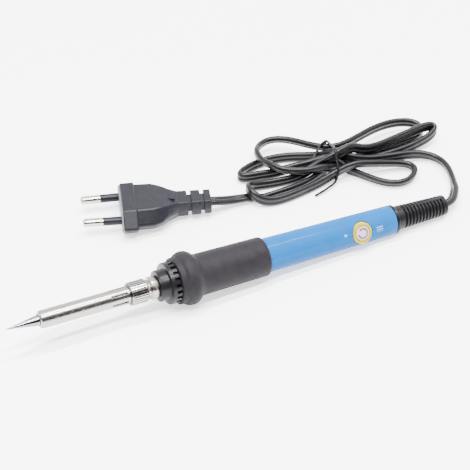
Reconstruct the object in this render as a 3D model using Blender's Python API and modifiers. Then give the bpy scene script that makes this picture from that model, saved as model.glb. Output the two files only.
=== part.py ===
"""Mains soldering iron with an adjustable dial, a tied hank of flat twin cord and a two-pin plug.

The iron lies on a table at z = 0: it rests on the bulb of its grip and on the rear ring of its
handle, with the tip raised. Every turned piece of the iron is drawn in the frame of the empty
"iron_axis", whose +Z runs from the point of the tip to the rear, so a height in that frame is a
station: the distance behind the point of the tip. Its +X is up and its +Y faces the dial's side.
The empty "dial_axis" stands on the dial's axis, with +Z out through the window. The empty
"plug_axis" stands at the middle of the plug's face, with +X towards the cord.
"""

import math

import bmesh
import bpy
from mathutils import Euler, Matrix, Vector

MM = 0.001

# ---------------------------------------------------------------- shared clearances
SEAT_GAP = 0.3 * MM  # between two pieces that touch
SLIDE_GAP = 0.15 * MM  # around the pieces that turn or slide
ROUND_STEPS = 32  # flats round a large turned piece
SMALL_STEPS = 20  # flats round a small one

# ---------------------------------------------------------------- soldering tip
TIP_EXPOSED = 14.7 * MM  # tip in front of the barrel
TIP_POINT_RADIUS = 0.22 * MM
TIP_NECK_RADIUS = 2.35 * MM  # base of the cone, where it leaves the barrel
TIP_SHANK_RADIUS = 3.2 * MM
TIP_SHANK_LENGTH = 26.0 * MM
TIP_WALL = 0.95 * MM  # between the shank's outside and the bore for the heater
TIP_NOSE_SOLID = 5.0 * MM  # solid metal ahead of the heater

# ---------------------------------------------------------------- barrel
BARREL_EXPOSED = 41.9 * MM  # mouth to the front of the nut
BARREL_RADIUS = 4.05 * MM
BARREL_WALL = 0.5 * MM
BARREL_MOUTH_ROUND = 1.3 * MM
BARREL_FLANGE_THICKNESS = 0.8 * MM
SLOT_LENGTH = 8.0 * MM
SLOT_WIDTH = 1.2 * MM
SLOT_TO_NUT = 0.9 * MM
SLOT_COUNT = 6
SLOT_FIRST_ANGLE = math.radians(9)  # above the dial's side

# ---------------------------------------------------------------- knurled nut
NUT_LENGTH = 8.5 * MM
NUT_RADIUS = 5.3 * MM
NUT_BORE_RADIUS = 4.75 * MM
NUT_LIP = 1.0 * MM
NUT_CHAMFER = 0.45 * MM
KNURL_COUNT = 30
KNURL_DEPTH = 0.22 * MM

# ---------------------------------------------------------------- threaded collar
COLLAR_NECK_LENGTH = 1.7 * MM  # shown between the nut and the flange
COLLAR_NECK_RADIUS = 4.1 * MM
COLLAR_FLANGE_LENGTH = 3.5 * MM
COLLAR_FLANGE_RADIUS = 5.25 * MM
COLLAR_SPIGOT_LENGTH = 6.0 * MM
COLLAR_SPIGOT_RADIUS = 3.6 * MM
COLLAR_BORE_RADIUS = 2.6 * MM

# ---------------------------------------------------------------- heater
HEATER_RADIUS = 1.95 * MM
HEATER_TAIL = 8.5 * MM  # rod behind the collar's spigot
HEATER_FLANGE_RADIUS = 5.2 * MM
HEATER_FLANGE_LENGTH = 2.4 * MM
LEAD_RADIUS = 0.6 * MM
LEAD_SPACING = 2.6 * MM

# ---------------------------------------------------------------- moulded nose
NOSE_STEP_LENGTH = 4.2 * MM
NOSE_STEP_RADIUS = 7.15 * MM
NOSE_RIM_LENGTH = 4.2 * MM  # the larger ring, plain in front and slotted behind
NOSE_RIM_RADIUS = 9.6 * MM
NOSE_PLAIN_LENGTH = 1.7 * MM
NOSE_SPIGOT_LENGTH = 10.0 * MM
NOSE_CHAMBER_RADIUS = 5.6 * MM
VENT_COUNT = 20
VENT_WIDTH = 1.45 * MM
VENT_DEPTH = 1.5 * MM

# ---------------------------------------------------------------- grip sleeve
GRIP_LENGTH = 44.8 * MM
GRIP_RIM_RADIUS = 10.75 * MM
GRIP_RIM_LENGTH = 2.6 * MM
BULB_RADIUS = 12.4 * MM
BULB_FRONT_RISE = 3.8 * MM
BULB_REAR_FALL = 4.4 * MM
GRIP_FRONT_RADIUS = 9.7 * MM  # just behind the bulb
GRIP_REAR_RADIUS = 9.2 * MM
GRIP_EDGE_ROUND = 0.5 * MM

# ---------------------------------------------------------------- handle shell
SHELL_LENGTH = 113.0 * MM
SHELL_FRONT_RADIUS = 8.1 * MM
SHELL_REAR_RADIUS = 7.05 * MM
SHELL_WALL = 1.0 * MM

# ---------------------------------------------------------------- end collar and boot
END_RING_LENGTH = 1.5 * MM
END_RING_RADIUS = 6.95 * MM
END_SPIGOT_LENGTH = 6.0 * MM
END_BORE_RADIUS = 4.3 * MM
BOOT_BASE_LENGTH = 3.4 * MM
BOOT_BASE_RADIUS = 5.75 * MM
BOOT_END_RADIUS = 4.95 * MM
BOOT_RIB_COUNT = 12
BOOT_RIB_PITCH = 1.9 * MM
BOOT_RIB_SHARE = 0.5  # rib thickness as a share of the pitch
BOOT_GROOVE_DEPTH = 1.1 * MM
BOOT_DISC_LENGTH = 1.5 * MM
BOOT_BORE_RADIUS = 2.9 * MM
BOOT_FLANGE_LENGTH = 1.0 * MM
BOOT_FLANGE_RADIUS = 5.1 * MM

# ---------------------------------------------------------------- dial and circuit board
DIAL_TO_END = 19.4 * MM  # dial's axis to the rear edge of the shell
DIAL_ELEVATION = math.radians(22)  # its normal above the horizontal
DIAL_RADIUS = 5.1 * MM
DIAL_THICKNESS = 2.3 * MM
DIAL_PROUD = 0.2 * MM  # face above the crown of the shell
DIAL_WINDOW_GAP = 0.3 * MM
SCALE_RADIUS = 3.5 * MM
SCALE_THICKNESS = 0.4 * MM
SHAFT_RADIUS = 1.5 * MM
SHAFT_IN_KNOB = 1.0 * MM
SHAFT_IN_BODY = 2.0 * MM
POT_SIDE = 8.4 * MM
POT_HEIGHT = 3.4 * MM
BOARD_LENGTH = 56.0 * MM
BOARD_WIDTH = 10.8 * MM
BOARD_THICKNESS = 1.2 * MM
BOARD_BEHIND_DIAL = 11.5 * MM  # board past the dial's axis, towards the cord
TRIAC_RADIUS = 2.3 * MM
TRIAC_LENGTH = 4.6 * MM
TRIAC_FLAT = 1.2 * MM  # flat side, from the centre of its round
CAPACITOR_SIZE = (7.2 * MM, 3.4 * MM, 4.8 * MM)
RESISTOR_RADIUS = 1.5 * MM
RESISTOR_LENGTH = 9.0 * MM
DIAC_RADIUS = 0.9 * MM
DIAC_LENGTH = 3.8 * MM
TRIAC_AHEAD = 14.0 * MM  # each component ahead of the dial's axis
DIAC_AHEAD = 20.0 * MM
CAPACITOR_AHEAD = 27.0 * MM
RESISTOR_AHEAD = 37.5 * MM
MAINS_LEAD_RADIUS = 1.0 * MM
MAINS_LEAD_SPACING = 2.7 * MM

# ---------------------------------------------------------------- plug
PLUG_PLACE = Vector((-27.9 * MM, 66.5 * MM, 0.0))  # middle of its face, on the table
PLUG_HEADING = math.radians(-19.3)  # direction from the face to the cord
PLUG_LENGTH = 42.8 * MM
PLUG_WIDTH = 35.3 * MM
PLUG_HEIGHT = 13.7 * MM
PLUG_FLAT_WIDTH = 22.0 * MM  # flat top and bottom of the section
BLOCK_LENGTH = 6.8 * MM
BODY_WIDTH = 30.6 * MM
BODY_HEIGHT = 12.4 * MM
BODY_STRAIGHT_END = 14.5 * MM
RELIEF_START = 26.0 * MM
RELIEF_WIDTH = 9.8 * MM
RELIEF_HEIGHT = 8.4 * MM
RELIEF_GROOVE = 1.7 * MM
RELIEF_GROOVE_DEPTH = 1.3 * MM
RELIEF_GROOVE_STARTS = (31.6 * MM, 37.7 * MM)
BRIDGE_MARGIN = 1.1 * MM  # overmoulded wall round the bridge
BRIDGE_THICKNESS = 2.4 * MM
PIN_LENGTH = 19.0 * MM
PIN_RADIUS = 2.0 * MM
PIN_CORE_RADIUS = 1.3 * MM
PIN_ROOT = 6.0 * MM  # pin behind the face
PIN_BASE_SPACING = 18.6 * MM
PIN_LEAN = math.radians(1.7)  # the pins draw together towards their ends
PIN_SLEEVE_LENGTH = 9.6 * MM
PIN_SLEEVE_RADIUS = 1.9 * MM
PIN_END_ROUND = 0.9 * MM

# ---------------------------------------------------------------- cord
CORD_WIDTH = 5.5 * MM
CORD_STRAIGHT = 1.5 * MM  # leaves each end straight for this far
HANK_HEIGHT = 12.0 * MM
TIE_RADIUS = 0.6 * MM
TIE_CENTRE = Vector((81.5 * MM, 53.6 * MM, 0.0))
TIE_HEADING = math.radians(75)  # along the tie, across the hank
TIE_SPAN = 25.0 * MM  # between the two upright sides of its loop
CORD_SAMPLE = 1.6 * MM  # spacing of the points read from the smooth route
# The handle's end of the cord leaves the boot, swings back over the table and enters the hank.
HANDLE_CORD_BENDS = [
    (116.4, 1.7, 5.2),
    (120.6, 5.6, 4.6),
    (124.8, 11.0, 3.8),
    (128.6, 17.0, 3.15),
    (131.6, 23.2, 2.9),
    (133.8, 29.0, 2.9),
    (135.35, 34.45, 2.9),
]
# The plug's end of the cord leaves the hank and rises into the plug.
PLUG_CORD_BENDS = [
    (24.3, 53.5, 2.9),
    (21.8, 52.9, 3.3),
    (19.0, 52.1, 4.6),
    (16.4, 51.6, 6.1),
]
# Outline of the tied hank, seen from above: two lobes with a waist at the tie.
HANK_OUTLINE = [
    (84.6, 62.8),
    (78.0, 79.6),
    (63.0, 94.6),
    (49.0, 90.6),
    (40.0, 78.6),
    (29.5, 72.1),
    (26.0, 59.6),
    (27.0, 46.1),
    (35.0, 38.6),
    (53.0, 39.1),
    (67.0, 42.6),
    (78.5, 44.6),
    (87.0, 39.1),
    (93.5, 26.1),
    (103.0, 20.1),
    (114.0, 21.6),
    (122.5, 30.1),
    (129.5, 34.9),
    (138.5, 36.6),
    (145.5, 47.6),
    (147.0, 61.6),
    (140.0, 72.6),
    (126.0, 76.1),
    (110.0, 73.6),
    (95.5, 67.6),
]

# ---------------------------------------------------------------- stations along the iron
BARREL_FRONT = TIP_EXPOSED
NUT_FRONT = BARREL_FRONT + BARREL_EXPOSED
NUT_REAR = NUT_FRONT + NUT_LENGTH
BARREL_FLANGE = NUT_FRONT + NUT_LIP + SLIDE_GAP
BARREL_REAR = BARREL_FLANGE + BARREL_FLANGE_THICKNESS
COLLAR_FRONT = BARREL_REAR + SLIDE_GAP
COLLAR_FLANGE = NUT_REAR + COLLAR_NECK_LENGTH
NOSE_FRONT = COLLAR_FLANGE + COLLAR_FLANGE_LENGTH + SEAT_GAP
COLLAR_REAR = NOSE_FRONT + COLLAR_SPIGOT_LENGTH
NOSE_RIM_FRONT = NOSE_FRONT + NOSE_STEP_LENGTH
NOSE_REAR = NOSE_RIM_FRONT + NOSE_RIM_LENGTH
GRIP_FRONT = NOSE_REAR + SEAT_GAP
GRIP_REAR = GRIP_FRONT + GRIP_LENGTH
BULB_PEAK = GRIP_FRONT + GRIP_RIM_LENGTH + BULB_FRONT_RISE
SHELL_FRONT = GRIP_FRONT
SHELL_REAR = SHELL_FRONT + SHELL_LENGTH
SHELL_TAPER_START = GRIP_REAR - 5.0 * MM  # straight under the grip, tapered behind it
END_RING_FRONT = SHELL_REAR + SEAT_GAP
END_RING_REAR = END_RING_FRONT + END_RING_LENGTH
BOOT_FRONT = END_RING_REAR + SEAT_GAP
BOOT_RIBS_START = BOOT_FRONT + BOOT_BASE_LENGTH
BOOT_REAR = BOOT_RIBS_START + BOOT_RIB_COUNT * BOOT_RIB_PITCH + BOOT_DISC_LENGTH
DIAL_STATION = SHELL_REAR - DIAL_TO_END
TIP_SHOULDER = BARREL_FRONT + BARREL_WALL + SEAT_GAP
HEATER_FRONT = TIP_SHOULDER + TIP_NOSE_SOLID + SEAT_GAP
HEATER_REAR = COLLAR_REAR + HEATER_TAIL

# ---------------------------------------------------------------- how the iron lies
REAR_REST_RADIUS = SHELL_REAR_RADIUS
TILT = math.atan((BULB_RADIUS - REAR_REST_RADIUS) / (SHELL_REAR - BULB_PEAK))
TIP_HEIGHT = BULB_RADIUS * math.cos(TILT) + BULB_PEAK * math.sin(TILT)
TIP_X = -0.5 * (BOOT_REAR * math.cos(TILT) + BOOT_END_RADIUS * math.sin(TILT))


def shell_radius(station):
    """Outer radius of the handle shell at a station."""
    share = (station - SHELL_TAPER_START) / (SHELL_REAR - SHELL_TAPER_START)
    share = min(max(share, 0.0), 1.0)
    return SHELL_FRONT_RADIUS + share * (SHELL_REAR_RADIUS - SHELL_FRONT_RADIUS)


# Levels above the iron's axis, along the dial's normal
DIAL_FACE = shell_radius(DIAL_STATION) + DIAL_PROUD
DIAL_BACK = DIAL_FACE - DIAL_THICKNESS
POT_TOP = DIAL_BACK - 1.1 * MM
POT_BASE = POT_TOP - POT_HEIGHT
BOARD_TOP = POT_BASE - SEAT_GAP
BOARD_BOTTOM = BOARD_TOP - BOARD_THICKNESS


# ---------------------------------------------------------------- scene helpers
def clear_scene():
    """Removes every object, so that the model is all that the scene holds."""
    for obj in list(bpy.data.objects):
        bpy.data.objects.remove(obj, do_unlink=True)


def collection(name):
    made = bpy.data.collections.new(name)
    bpy.context.scene.collection.children.link(made)
    return made


def finish(name, colour, roughness, metallic=0.0):
    """A Principled material with the piece's own colour."""
    material = bpy.data.materials.new(name)
    material.use_nodes = True
    shader = material.node_tree.nodes["Principled BSDF"]
    shader.inputs["Base Color"].default_value = (*colour, 1.0)
    shader.inputs["Roughness"].default_value = roughness
    shader.inputs["Metallic"].default_value = metallic
    return material


def empty(name, parent, matrix):
    made = bpy.data.objects.new(name, None)
    made.parent = parent
    made.matrix_basis = matrix
    PIECES.objects.link(made)
    return made


def place(obj, parent, material):
    """Puts a modelled object in the assembly, under its frame, with its finish."""
    obj.parent = parent
    obj.data.materials.append(material)
    PIECES.objects.link(obj)
    return obj


def as_cutter(obj, parent, group=None):
    """Parents a cutter, hides it from the render and puts it in a collection of cutters."""
    obj.parent = parent
    obj.hide_render = True
    obj.display_type = "WIRE"
    (group or CUTTERS).objects.link(obj)
    return obj


def boolean(obj, cutter, operation="DIFFERENCE"):
    modifier = obj.modifiers.new(cutter.name, "BOOLEAN")
    modifier.operation = operation
    modifier.solver = "EXACT"
    modifier.object = cutter


# ---------------------------------------------------------------- shapes
def turned(name, outer, bore=(), steps=ROUND_STEPS):
    """A turned piece, from (station, radius) points that run from the tip's end to the rear."""
    points = [(radius, station) for station, radius in reversed(outer)]
    points += [(radius, station) for station, radius in bore]
    mesh = bpy.data.meshes.new(name)
    shape = bmesh.new()
    verts = [shape.verts.new((radius, 0.0, station)) for radius, station in points]
    for first, second in zip(verts, verts[1:] + verts[:1]):
        if first.co.x > 0.0 or second.co.x > 0.0:
            shape.edges.new((first, second))
    shape.to_mesh(mesh)
    shape.free()
    obj = bpy.data.objects.new(name, mesh)
    screw = obj.modifiers.new("Turn", "SCREW")
    screw.steps = steps
    screw.render_steps = steps
    screw.merge_threshold = 0.00001
    screw.use_merge_vertices = True
    screw.use_smooth_shade = False
    return obj


def solid_outline(points):
    """Closes a turned outline on the axis at both ends."""
    return [(points[0][0], 0.0), *points, (points[-1][0], 0.0)]


def quarter(centre, reach_along, reach_out, start, stop, count):
    """Points of an elliptical arc as (station, radius), with its angles measured from the axis."""
    found = []
    for index in range(count + 1):
        angle = math.radians(start + (stop - start) * index / count)
        along = centre[0] + reach_along * math.cos(angle)
        out = centre[1] + reach_out * math.sin(angle)
        found.append((along, out))
    return found


def box(name, size, centre, matrix=None):
    """A box from a primitive, at its place in its parent's frame."""
    mesh = bpy.data.meshes.new(name)
    shape = bmesh.new()
    bmesh.ops.create_cube(shape, size=1.0)
    bmesh.ops.scale(shape, vec=Vector(size), verts=shape.verts)
    bmesh.ops.translate(shape, vec=Vector(centre), verts=shape.verts)
    if matrix is not None:
        bmesh.ops.transform(shape, matrix=matrix, verts=shape.verts)
    shape.to_mesh(mesh)
    shape.free()
    return bpy.data.objects.new(name, mesh)


def rod(name, radius, start, end, steps=SMALL_STEPS):
    """A cylinder between two points of its parent's frame."""
    start, end = Vector(start), Vector(end)
    mesh = bpy.data.meshes.new(name)
    shape = bmesh.new()
    bmesh.ops.create_cone(
        shape,
        cap_ends=True,
        segments=steps,
        radius1=radius,
        radius2=radius,
        depth=(end - start).length,
    )
    turn = (end - start).to_track_quat("Z", "Y").to_matrix().to_4x4()
    move = Matrix.Translation((start + end) / 2)
    bmesh.ops.transform(shape, matrix=move @ turn, verts=shape.verts)
    shape.to_mesh(mesh)
    shape.free()
    return bpy.data.objects.new(name, mesh)


def as_mesh(curve_object):
    """The mesh of a curve, with its caps welded, so that it can be cut or used as a cutter."""
    bpy.context.scene.collection.objects.link(curve_object)
    bpy.context.view_layer.update()
    graph = bpy.context.evaluated_depsgraph_get()
    mesh = bpy.data.meshes.new_from_object(curve_object.evaluated_get(graph))
    shape = bmesh.new()
    shape.from_mesh(mesh)
    bmesh.ops.remove_doubles(shape, verts=shape.verts, dist=0.000001)
    bmesh.ops.recalc_face_normals(shape, faces=shape.faces)
    shape.to_mesh(mesh)
    shape.free()
    name = curve_object.name
    matrix = curve_object.matrix_world.copy()
    bpy.data.objects.remove(curve_object, do_unlink=True)
    made = bpy.data.objects.new(name, mesh)
    made.matrix_world = matrix
    return made


def plate(name, outline, thickness, smooth=False):
    """A flat outline in the XY plane, extruded half its thickness each way, as a mesh."""
    data = bpy.data.curves.new(name, "CURVE")
    data.dimensions = "2D"
    data.fill_mode = "BOTH"
    data.extrude = thickness / 2
    if smooth:
        spline = data.splines.new("BEZIER")
        spline.bezier_points.add(len(outline) - 1)
        for point, (x, y) in zip(spline.bezier_points, outline):
            point.co = (x, y, 0.0)
            point.handle_left_type = "AUTO"
            point.handle_right_type = "AUTO"
        data.resolution_u = 3
    else:
        spline = data.splines.new("POLY")
        spline.points.add(len(outline) - 1)
        for point, (x, y) in zip(spline.points, outline):
            point.co = (x, y, 0.0, 1.0)
    spline.use_cyclic_u = True
    return as_mesh(bpy.data.objects.new(name, data))


def moved(obj, matrix):
    """Moves an object's mesh within its parent's frame."""
    obj.data.transform(matrix)
    return obj


def wire(name, points, radius, sides=2):
    """A round wire along a list of points."""
    data = bpy.data.curves.new(name, "CURVE")
    data.dimensions = "3D"
    data.bevel_depth = radius
    data.bevel_resolution = sides
    data.use_fill_caps = True
    spline = data.splines.new("POLY")
    spline.points.add(len(points) - 1)
    for point, place_of in zip(spline.points, points):
        point.co = (*place_of, 1.0)
    return bpy.data.objects.new(name, data)


def smooth_route(bends, spacing):
    """Points at an even spacing along a Catmull-Rom curve through the bends."""
    bends = [Vector(bend) for bend in bends]
    guides = [2 * bends[0] - bends[1], *bends, 2 * bends[-1] - bends[-2]]
    dense = [bends[0]]
    for before, start, end, after in zip(guides, guides[1:], guides[2:], guides[3:]):
        for index in range(1, 21):
            t = index / 20
            a = 2 * start
            b = end - before
            c = 2 * before - 5 * start + 4 * end - after
            d = 3 * start - before - 3 * end + after
            dense.append((a + b * t + c * t**2 + d * t**3) / 2)
    lengths = [0.0]
    for first, second in zip(dense, dense[1:]):
        lengths.append(lengths[-1] + (second - first).length)
    count = max(2, round(lengths[-1] / spacing))
    route = []
    index = 0
    for step in range(count + 1):
        target = lengths[-1] * step / count
        while index < len(lengths) - 2 and lengths[index + 1] < target:
            index += 1
        stretch = lengths[index + 1] - lengths[index]
        route.append(dense[index].lerp(dense[index + 1], (target - lengths[index]) / stretch))
    return route


# ---------------------------------------------------------------- tip and barrel
def soldering_tip():
    outer = [
        (0.0, 0.0),
        (0.0, TIP_POINT_RADIUS),
        (TIP_EXPOSED * 0.93, TIP_NECK_RADIUS),
        (TIP_SHOULDER, TIP_NECK_RADIUS),
        (TIP_SHOULDER + (TIP_SHANK_RADIUS - TIP_NECK_RADIUS), TIP_SHANK_RADIUS),
        (TIP_SHOULDER + TIP_SHANK_LENGTH, TIP_SHANK_RADIUS),
    ]
    bore_radius = TIP_SHANK_RADIUS - TIP_WALL
    bore = [
        (TIP_SHOULDER + TIP_NOSE_SOLID, 0.0),
        (TIP_SHOULDER + TIP_NOSE_SOLID, bore_radius),
        (TIP_SHOULDER + TIP_SHANK_LENGTH, bore_radius),
    ]
    place(turned("soldering_tip", outer, bore), IRON, TIP_PLATING)


def barrel_tube():
    mouth = TIP_NECK_RADIUS + SEAT_GAP
    rounding = quarter(
        (BARREL_FRONT + BARREL_MOUTH_ROUND, BARREL_RADIUS - BARREL_MOUTH_ROUND),
        BARREL_MOUTH_ROUND,
        BARREL_MOUTH_ROUND,
        180,
        90,
        4,
    )
    inner = BARREL_RADIUS - BARREL_WALL
    flange = NUT_BORE_RADIUS - SLIDE_GAP
    outer = [
        (BARREL_FRONT, mouth),
        *rounding,
        (BARREL_FLANGE, BARREL_RADIUS),
        (BARREL_FLANGE, flange),
        (BARREL_REAR, flange),
    ]
    bore = [
        (BARREL_FRONT + BARREL_WALL, mouth),
        (BARREL_FRONT + BARREL_MOUTH_ROUND, inner),
        (BARREL_REAR, inner),
    ]
    tube = place(turned("barrel_tube", outer, bore), IRON, STAINLESS)
    middle = NUT_FRONT - SLOT_TO_NUT - SLOT_LENGTH / 2
    for index in range(SLOT_COUNT // 2):
        angle = SLOT_FIRST_ANGLE + index * 2 * math.pi / SLOT_COUNT
        name = f"slot_cutter_{index + 1}"
        through = 4 * BARREL_RADIUS
        size = (SLOT_WIDTH, through, SLOT_LENGTH)
        turn = Matrix.Rotation(-angle, 4, "Z")
        cutter = box(name, size, (0.0, 0.0, middle), turn)
        boolean(tube, as_cutter(cutter, IRON))


def knurled_nut():
    lip = BARREL_RADIUS + SLIDE_GAP
    outer = [
        (NUT_FRONT, NUT_RADIUS - NUT_CHAMFER),
        (NUT_FRONT + NUT_CHAMFER, NUT_RADIUS + KNURL_DEPTH),
        (NUT_REAR - NUT_CHAMFER, NUT_RADIUS + KNURL_DEPTH),
        (NUT_REAR, NUT_RADIUS - NUT_CHAMFER),
    ]
    bore = [
        (NUT_FRONT, lip),
        (NUT_FRONT + NUT_LIP, lip),
        (NUT_FRONT + NUT_LIP, NUT_BORE_RADIUS),
        (NUT_REAR, NUT_BORE_RADIUS),
    ]
    nut = place(turned("knurled_nut", outer, bore), IRON, NICKEL)
    ridges = []
    for index in range(2 * KNURL_COUNT):
        angle = math.pi * index / KNURL_COUNT
        radius = NUT_RADIUS - KNURL_DEPTH * (index % 2)
        ridges.append((radius * math.cos(angle), radius * math.sin(angle)))
    knurl = plate("knurl_cutter", ridges, 2 * NUT_LENGTH)
    moved(knurl, Matrix.Translation((0.0, 0.0, (NUT_FRONT + NUT_REAR) / 2)))
    boolean(nut, as_cutter(knurl, IRON), "INTERSECT")


def threaded_collar():
    thread = NUT_BORE_RADIUS - SLIDE_GAP
    outer = [
        (COLLAR_FRONT, thread - SLIDE_GAP),
        (COLLAR_FRONT + 2 * SLIDE_GAP, thread),
        (NUT_REAR, thread),
        (NUT_REAR, COLLAR_NECK_RADIUS),
        (COLLAR_FLANGE, COLLAR_NECK_RADIUS),
        (COLLAR_FLANGE, COLLAR_FLANGE_RADIUS),
        (NOSE_FRONT - SEAT_GAP, COLLAR_FLANGE_RADIUS),
        (NOSE_FRONT - SEAT_GAP, COLLAR_SPIGOT_RADIUS),
        (COLLAR_REAR, COLLAR_SPIGOT_RADIUS),
    ]
    bore = [(COLLAR_FRONT, COLLAR_BORE_RADIUS), (COLLAR_REAR, COLLAR_BORE_RADIUS)]
    place(turned("threaded_collar", outer, bore), IRON, NICKEL)


# ---------------------------------------------------------------- heater
def heater():
    rod_outline = solid_outline([(HEATER_FRONT, HEATER_RADIUS), (HEATER_REAR, HEATER_RADIUS)])
    place(turned("heater_rod", rod_outline, steps=SMALL_STEPS), IRON, CERAMIC)
    front = COLLAR_REAR + SEAT_GAP
    rear = front + HEATER_FLANGE_LENGTH
    hole = HEATER_RADIUS + SEAT_GAP
    outer = [(front, HEATER_FLANGE_RADIUS), (rear, HEATER_FLANGE_RADIUS)]
    bore = [(front, hole), (rear, hole)]
    place(turned("heater_flange", outer, bore), IRON, CERAMIC)


def board_point(along, across, level):
    """A point of the dial's frame, given in the iron's frame."""
    return DIAL_MATRIX @ Vector((along, across, level))


def heater_leads():
    board_front = BOARD_BEHIND_DIAL - BOARD_LENGTH
    middle = (BOARD_TOP + BOARD_BOTTOM) / 2
    for name, side in (("heater_lead_live", 1), ("heater_lead_neutral", -1)):
        across = side * LEAD_SPACING / 2
        end = board_point(board_front - SEAT_GAP, across, middle)
        near = board_point(board_front - 12 * MM, across, middle)
        start = board_point(HEATER_REAR + SEAT_GAP - DIAL_STATION, side * 0.9 * MM, 0.0)
        far = start + Vector((0.0, 0.0, 8 * MM))
        route = smooth_route([start, far, near, end], 6 * MM)
        place(wire(name, route, LEAD_RADIUS), IRON, GLASS_SLEEVE)


# ---------------------------------------------------------------- nose, grip and shell
def nose_cap():
    spigot = SHELL_FRONT_RADIUS - SHELL_WALL - SEAT_GAP
    rear = NOSE_REAR + NOSE_SPIGOT_LENGTH
    chamfer = 0.3 * MM
    outer = [
        (NOSE_FRONT, NOSE_STEP_RADIUS - chamfer),
        (NOSE_FRONT + chamfer, NOSE_STEP_RADIUS),
        (NOSE_RIM_FRONT, NOSE_STEP_RADIUS),
        (NOSE_RIM_FRONT, NOSE_RIM_RADIUS - chamfer),
        (NOSE_RIM_FRONT + chamfer, NOSE_RIM_RADIUS),
        (NOSE_REAR, NOSE_RIM_RADIUS),
        (NOSE_REAR, spigot),
        (rear, spigot),
    ]
    socket = COLLAR_SPIGOT_RADIUS + SEAT_GAP
    bore = [
        (NOSE_FRONT, socket),
        (COLLAR_REAR - SEAT_GAP, socket),
        (COLLAR_REAR, NOSE_CHAMBER_RADIUS),
        (rear, NOSE_CHAMBER_RADIUS),
    ]
    cap = place(turned("nose_cap", outer, bore), IRON, BLACK_NYLON)
    start = NOSE_RIM_FRONT + NOSE_PLAIN_LENGTH
    stop = NOSE_REAR + SEAT_GAP
    reach = 2 * VENT_DEPTH
    for index in range(VENT_COUNT):
        turn = Matrix.Rotation(2 * math.pi * (index + 0.5) / VENT_COUNT, 4, "Z")
        centre = (NOSE_RIM_RADIUS - VENT_DEPTH + reach / 2, 0.0, (start + stop) / 2)
        cutter = box(f"vent_cutter_{index + 1}", (reach, VENT_WIDTH, stop - start), centre, turn)
        as_cutter(cutter, IRON, VENTS)
    cut = cap.modifiers.new("Vents", "BOOLEAN")
    cut.operand_type = "COLLECTION"
    cut.collection = VENTS
    cut.solver = "EXACT"


def grip_sleeve():
    bore_radius = SHELL_FRONT_RADIUS + SEAT_GAP
    edge = GRIP_EDGE_ROUND
    rim_end = GRIP_FRONT + GRIP_RIM_LENGTH
    front_height = BULB_RADIUS - GRIP_RIM_RADIUS
    rear_height = BULB_RADIUS - GRIP_FRONT_RADIUS
    rise = quarter((BULB_PEAK, GRIP_RIM_RADIUS), BULB_FRONT_RISE, front_height, 180, 90, 5)
    fall = quarter((BULB_PEAK, GRIP_FRONT_RADIUS), BULB_REAR_FALL, rear_height, 90, 0, 5)
    rear_edge = (GRIP_REAR - edge, GRIP_REAR_RADIUS - edge)
    outer = [
        (GRIP_FRONT, GRIP_RIM_RADIUS - edge),
        (GRIP_FRONT + edge, GRIP_RIM_RADIUS),
        (rim_end - 0.2 * MM, GRIP_RIM_RADIUS),
        *rise[1:],
        *fall[1:],
        *quarter(rear_edge, edge, edge, 90, 0, 3),
    ]
    bore = [(GRIP_FRONT, bore_radius), (GRIP_REAR, bore_radius)]
    place(turned("grip_sleeve", outer, bore), IRON, SILICONE)


def handle_shell():
    outer = [
        (SHELL_FRONT, SHELL_FRONT_RADIUS),
        (SHELL_TAPER_START, SHELL_FRONT_RADIUS),
        (SHELL_REAR, SHELL_REAR_RADIUS),
    ]
    bore = [(station, radius - SHELL_WALL) for station, radius in outer]
    shell = place(turned("handle_shell", outer, bore), IRON, BLUE_PLASTIC)
    window = rod(
        "window_cutter",
        DIAL_RADIUS + DIAL_WINDOW_GAP,
        (0.0, 0.0, BOARD_TOP),
        (0.0, 0.0, 2 * DIAL_FACE),
        ROUND_STEPS,
    )
    boolean(shell, as_cutter(window, DIAL))


def end_collar():
    spigot = SHELL_REAR_RADIUS - SHELL_WALL - SEAT_GAP
    outer = [
        (END_RING_FRONT - END_SPIGOT_LENGTH, spigot),
        (END_RING_FRONT, spigot),
        (END_RING_FRONT, END_RING_RADIUS),
        (END_RING_REAR, END_RING_RADIUS),
    ]
    bore = [(END_RING_FRONT - END_SPIGOT_LENGTH, END_BORE_RADIUS), (END_RING_REAR, END_BORE_RADIUS)]
    place(turned("end_collar", outer, bore), IRON, BLACK_NYLON)


def strain_relief_boot():
    neck = END_BORE_RADIUS - SEAT_GAP
    flange_rear = END_RING_FRONT - END_SPIGOT_LENGTH - SEAT_GAP
    flange_front = flange_rear - BOOT_FLANGE_LENGTH
    outer = [
        (flange_front, BOOT_FLANGE_RADIUS),
        (flange_rear, BOOT_FLANGE_RADIUS),
        (flange_rear, neck),
        (BOOT_FRONT, neck),
        (BOOT_FRONT, BOOT_BASE_RADIUS),
        (BOOT_RIBS_START, BOOT_BASE_RADIUS),
    ]
    taper = (BOOT_BASE_RADIUS - BOOT_END_RADIUS) / (BOOT_REAR - BOOT_RIBS_START)
    for index in range(BOOT_RIB_COUNT):
        groove = BOOT_RIBS_START + index * BOOT_RIB_PITCH
        rib = groove + BOOT_RIB_PITCH * (1 - BOOT_RIB_SHARE)
        radius = BOOT_BASE_RADIUS - taper * (rib - BOOT_RIBS_START)
        outer.append((groove, radius - BOOT_GROOVE_DEPTH))
        outer.append((rib, radius - BOOT_GROOVE_DEPTH))
        outer.append((rib, radius))
        outer.append((groove + BOOT_RIB_PITCH, radius))
    outer.append((BOOT_REAR, BOOT_END_RADIUS))
    bore = [(flange_front, BOOT_BORE_RADIUS), (BOOT_REAR, BOOT_BORE_RADIUS)]
    place(turned("strain_relief_boot", outer, bore, 24), IRON, BLACK_PVC)


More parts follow.
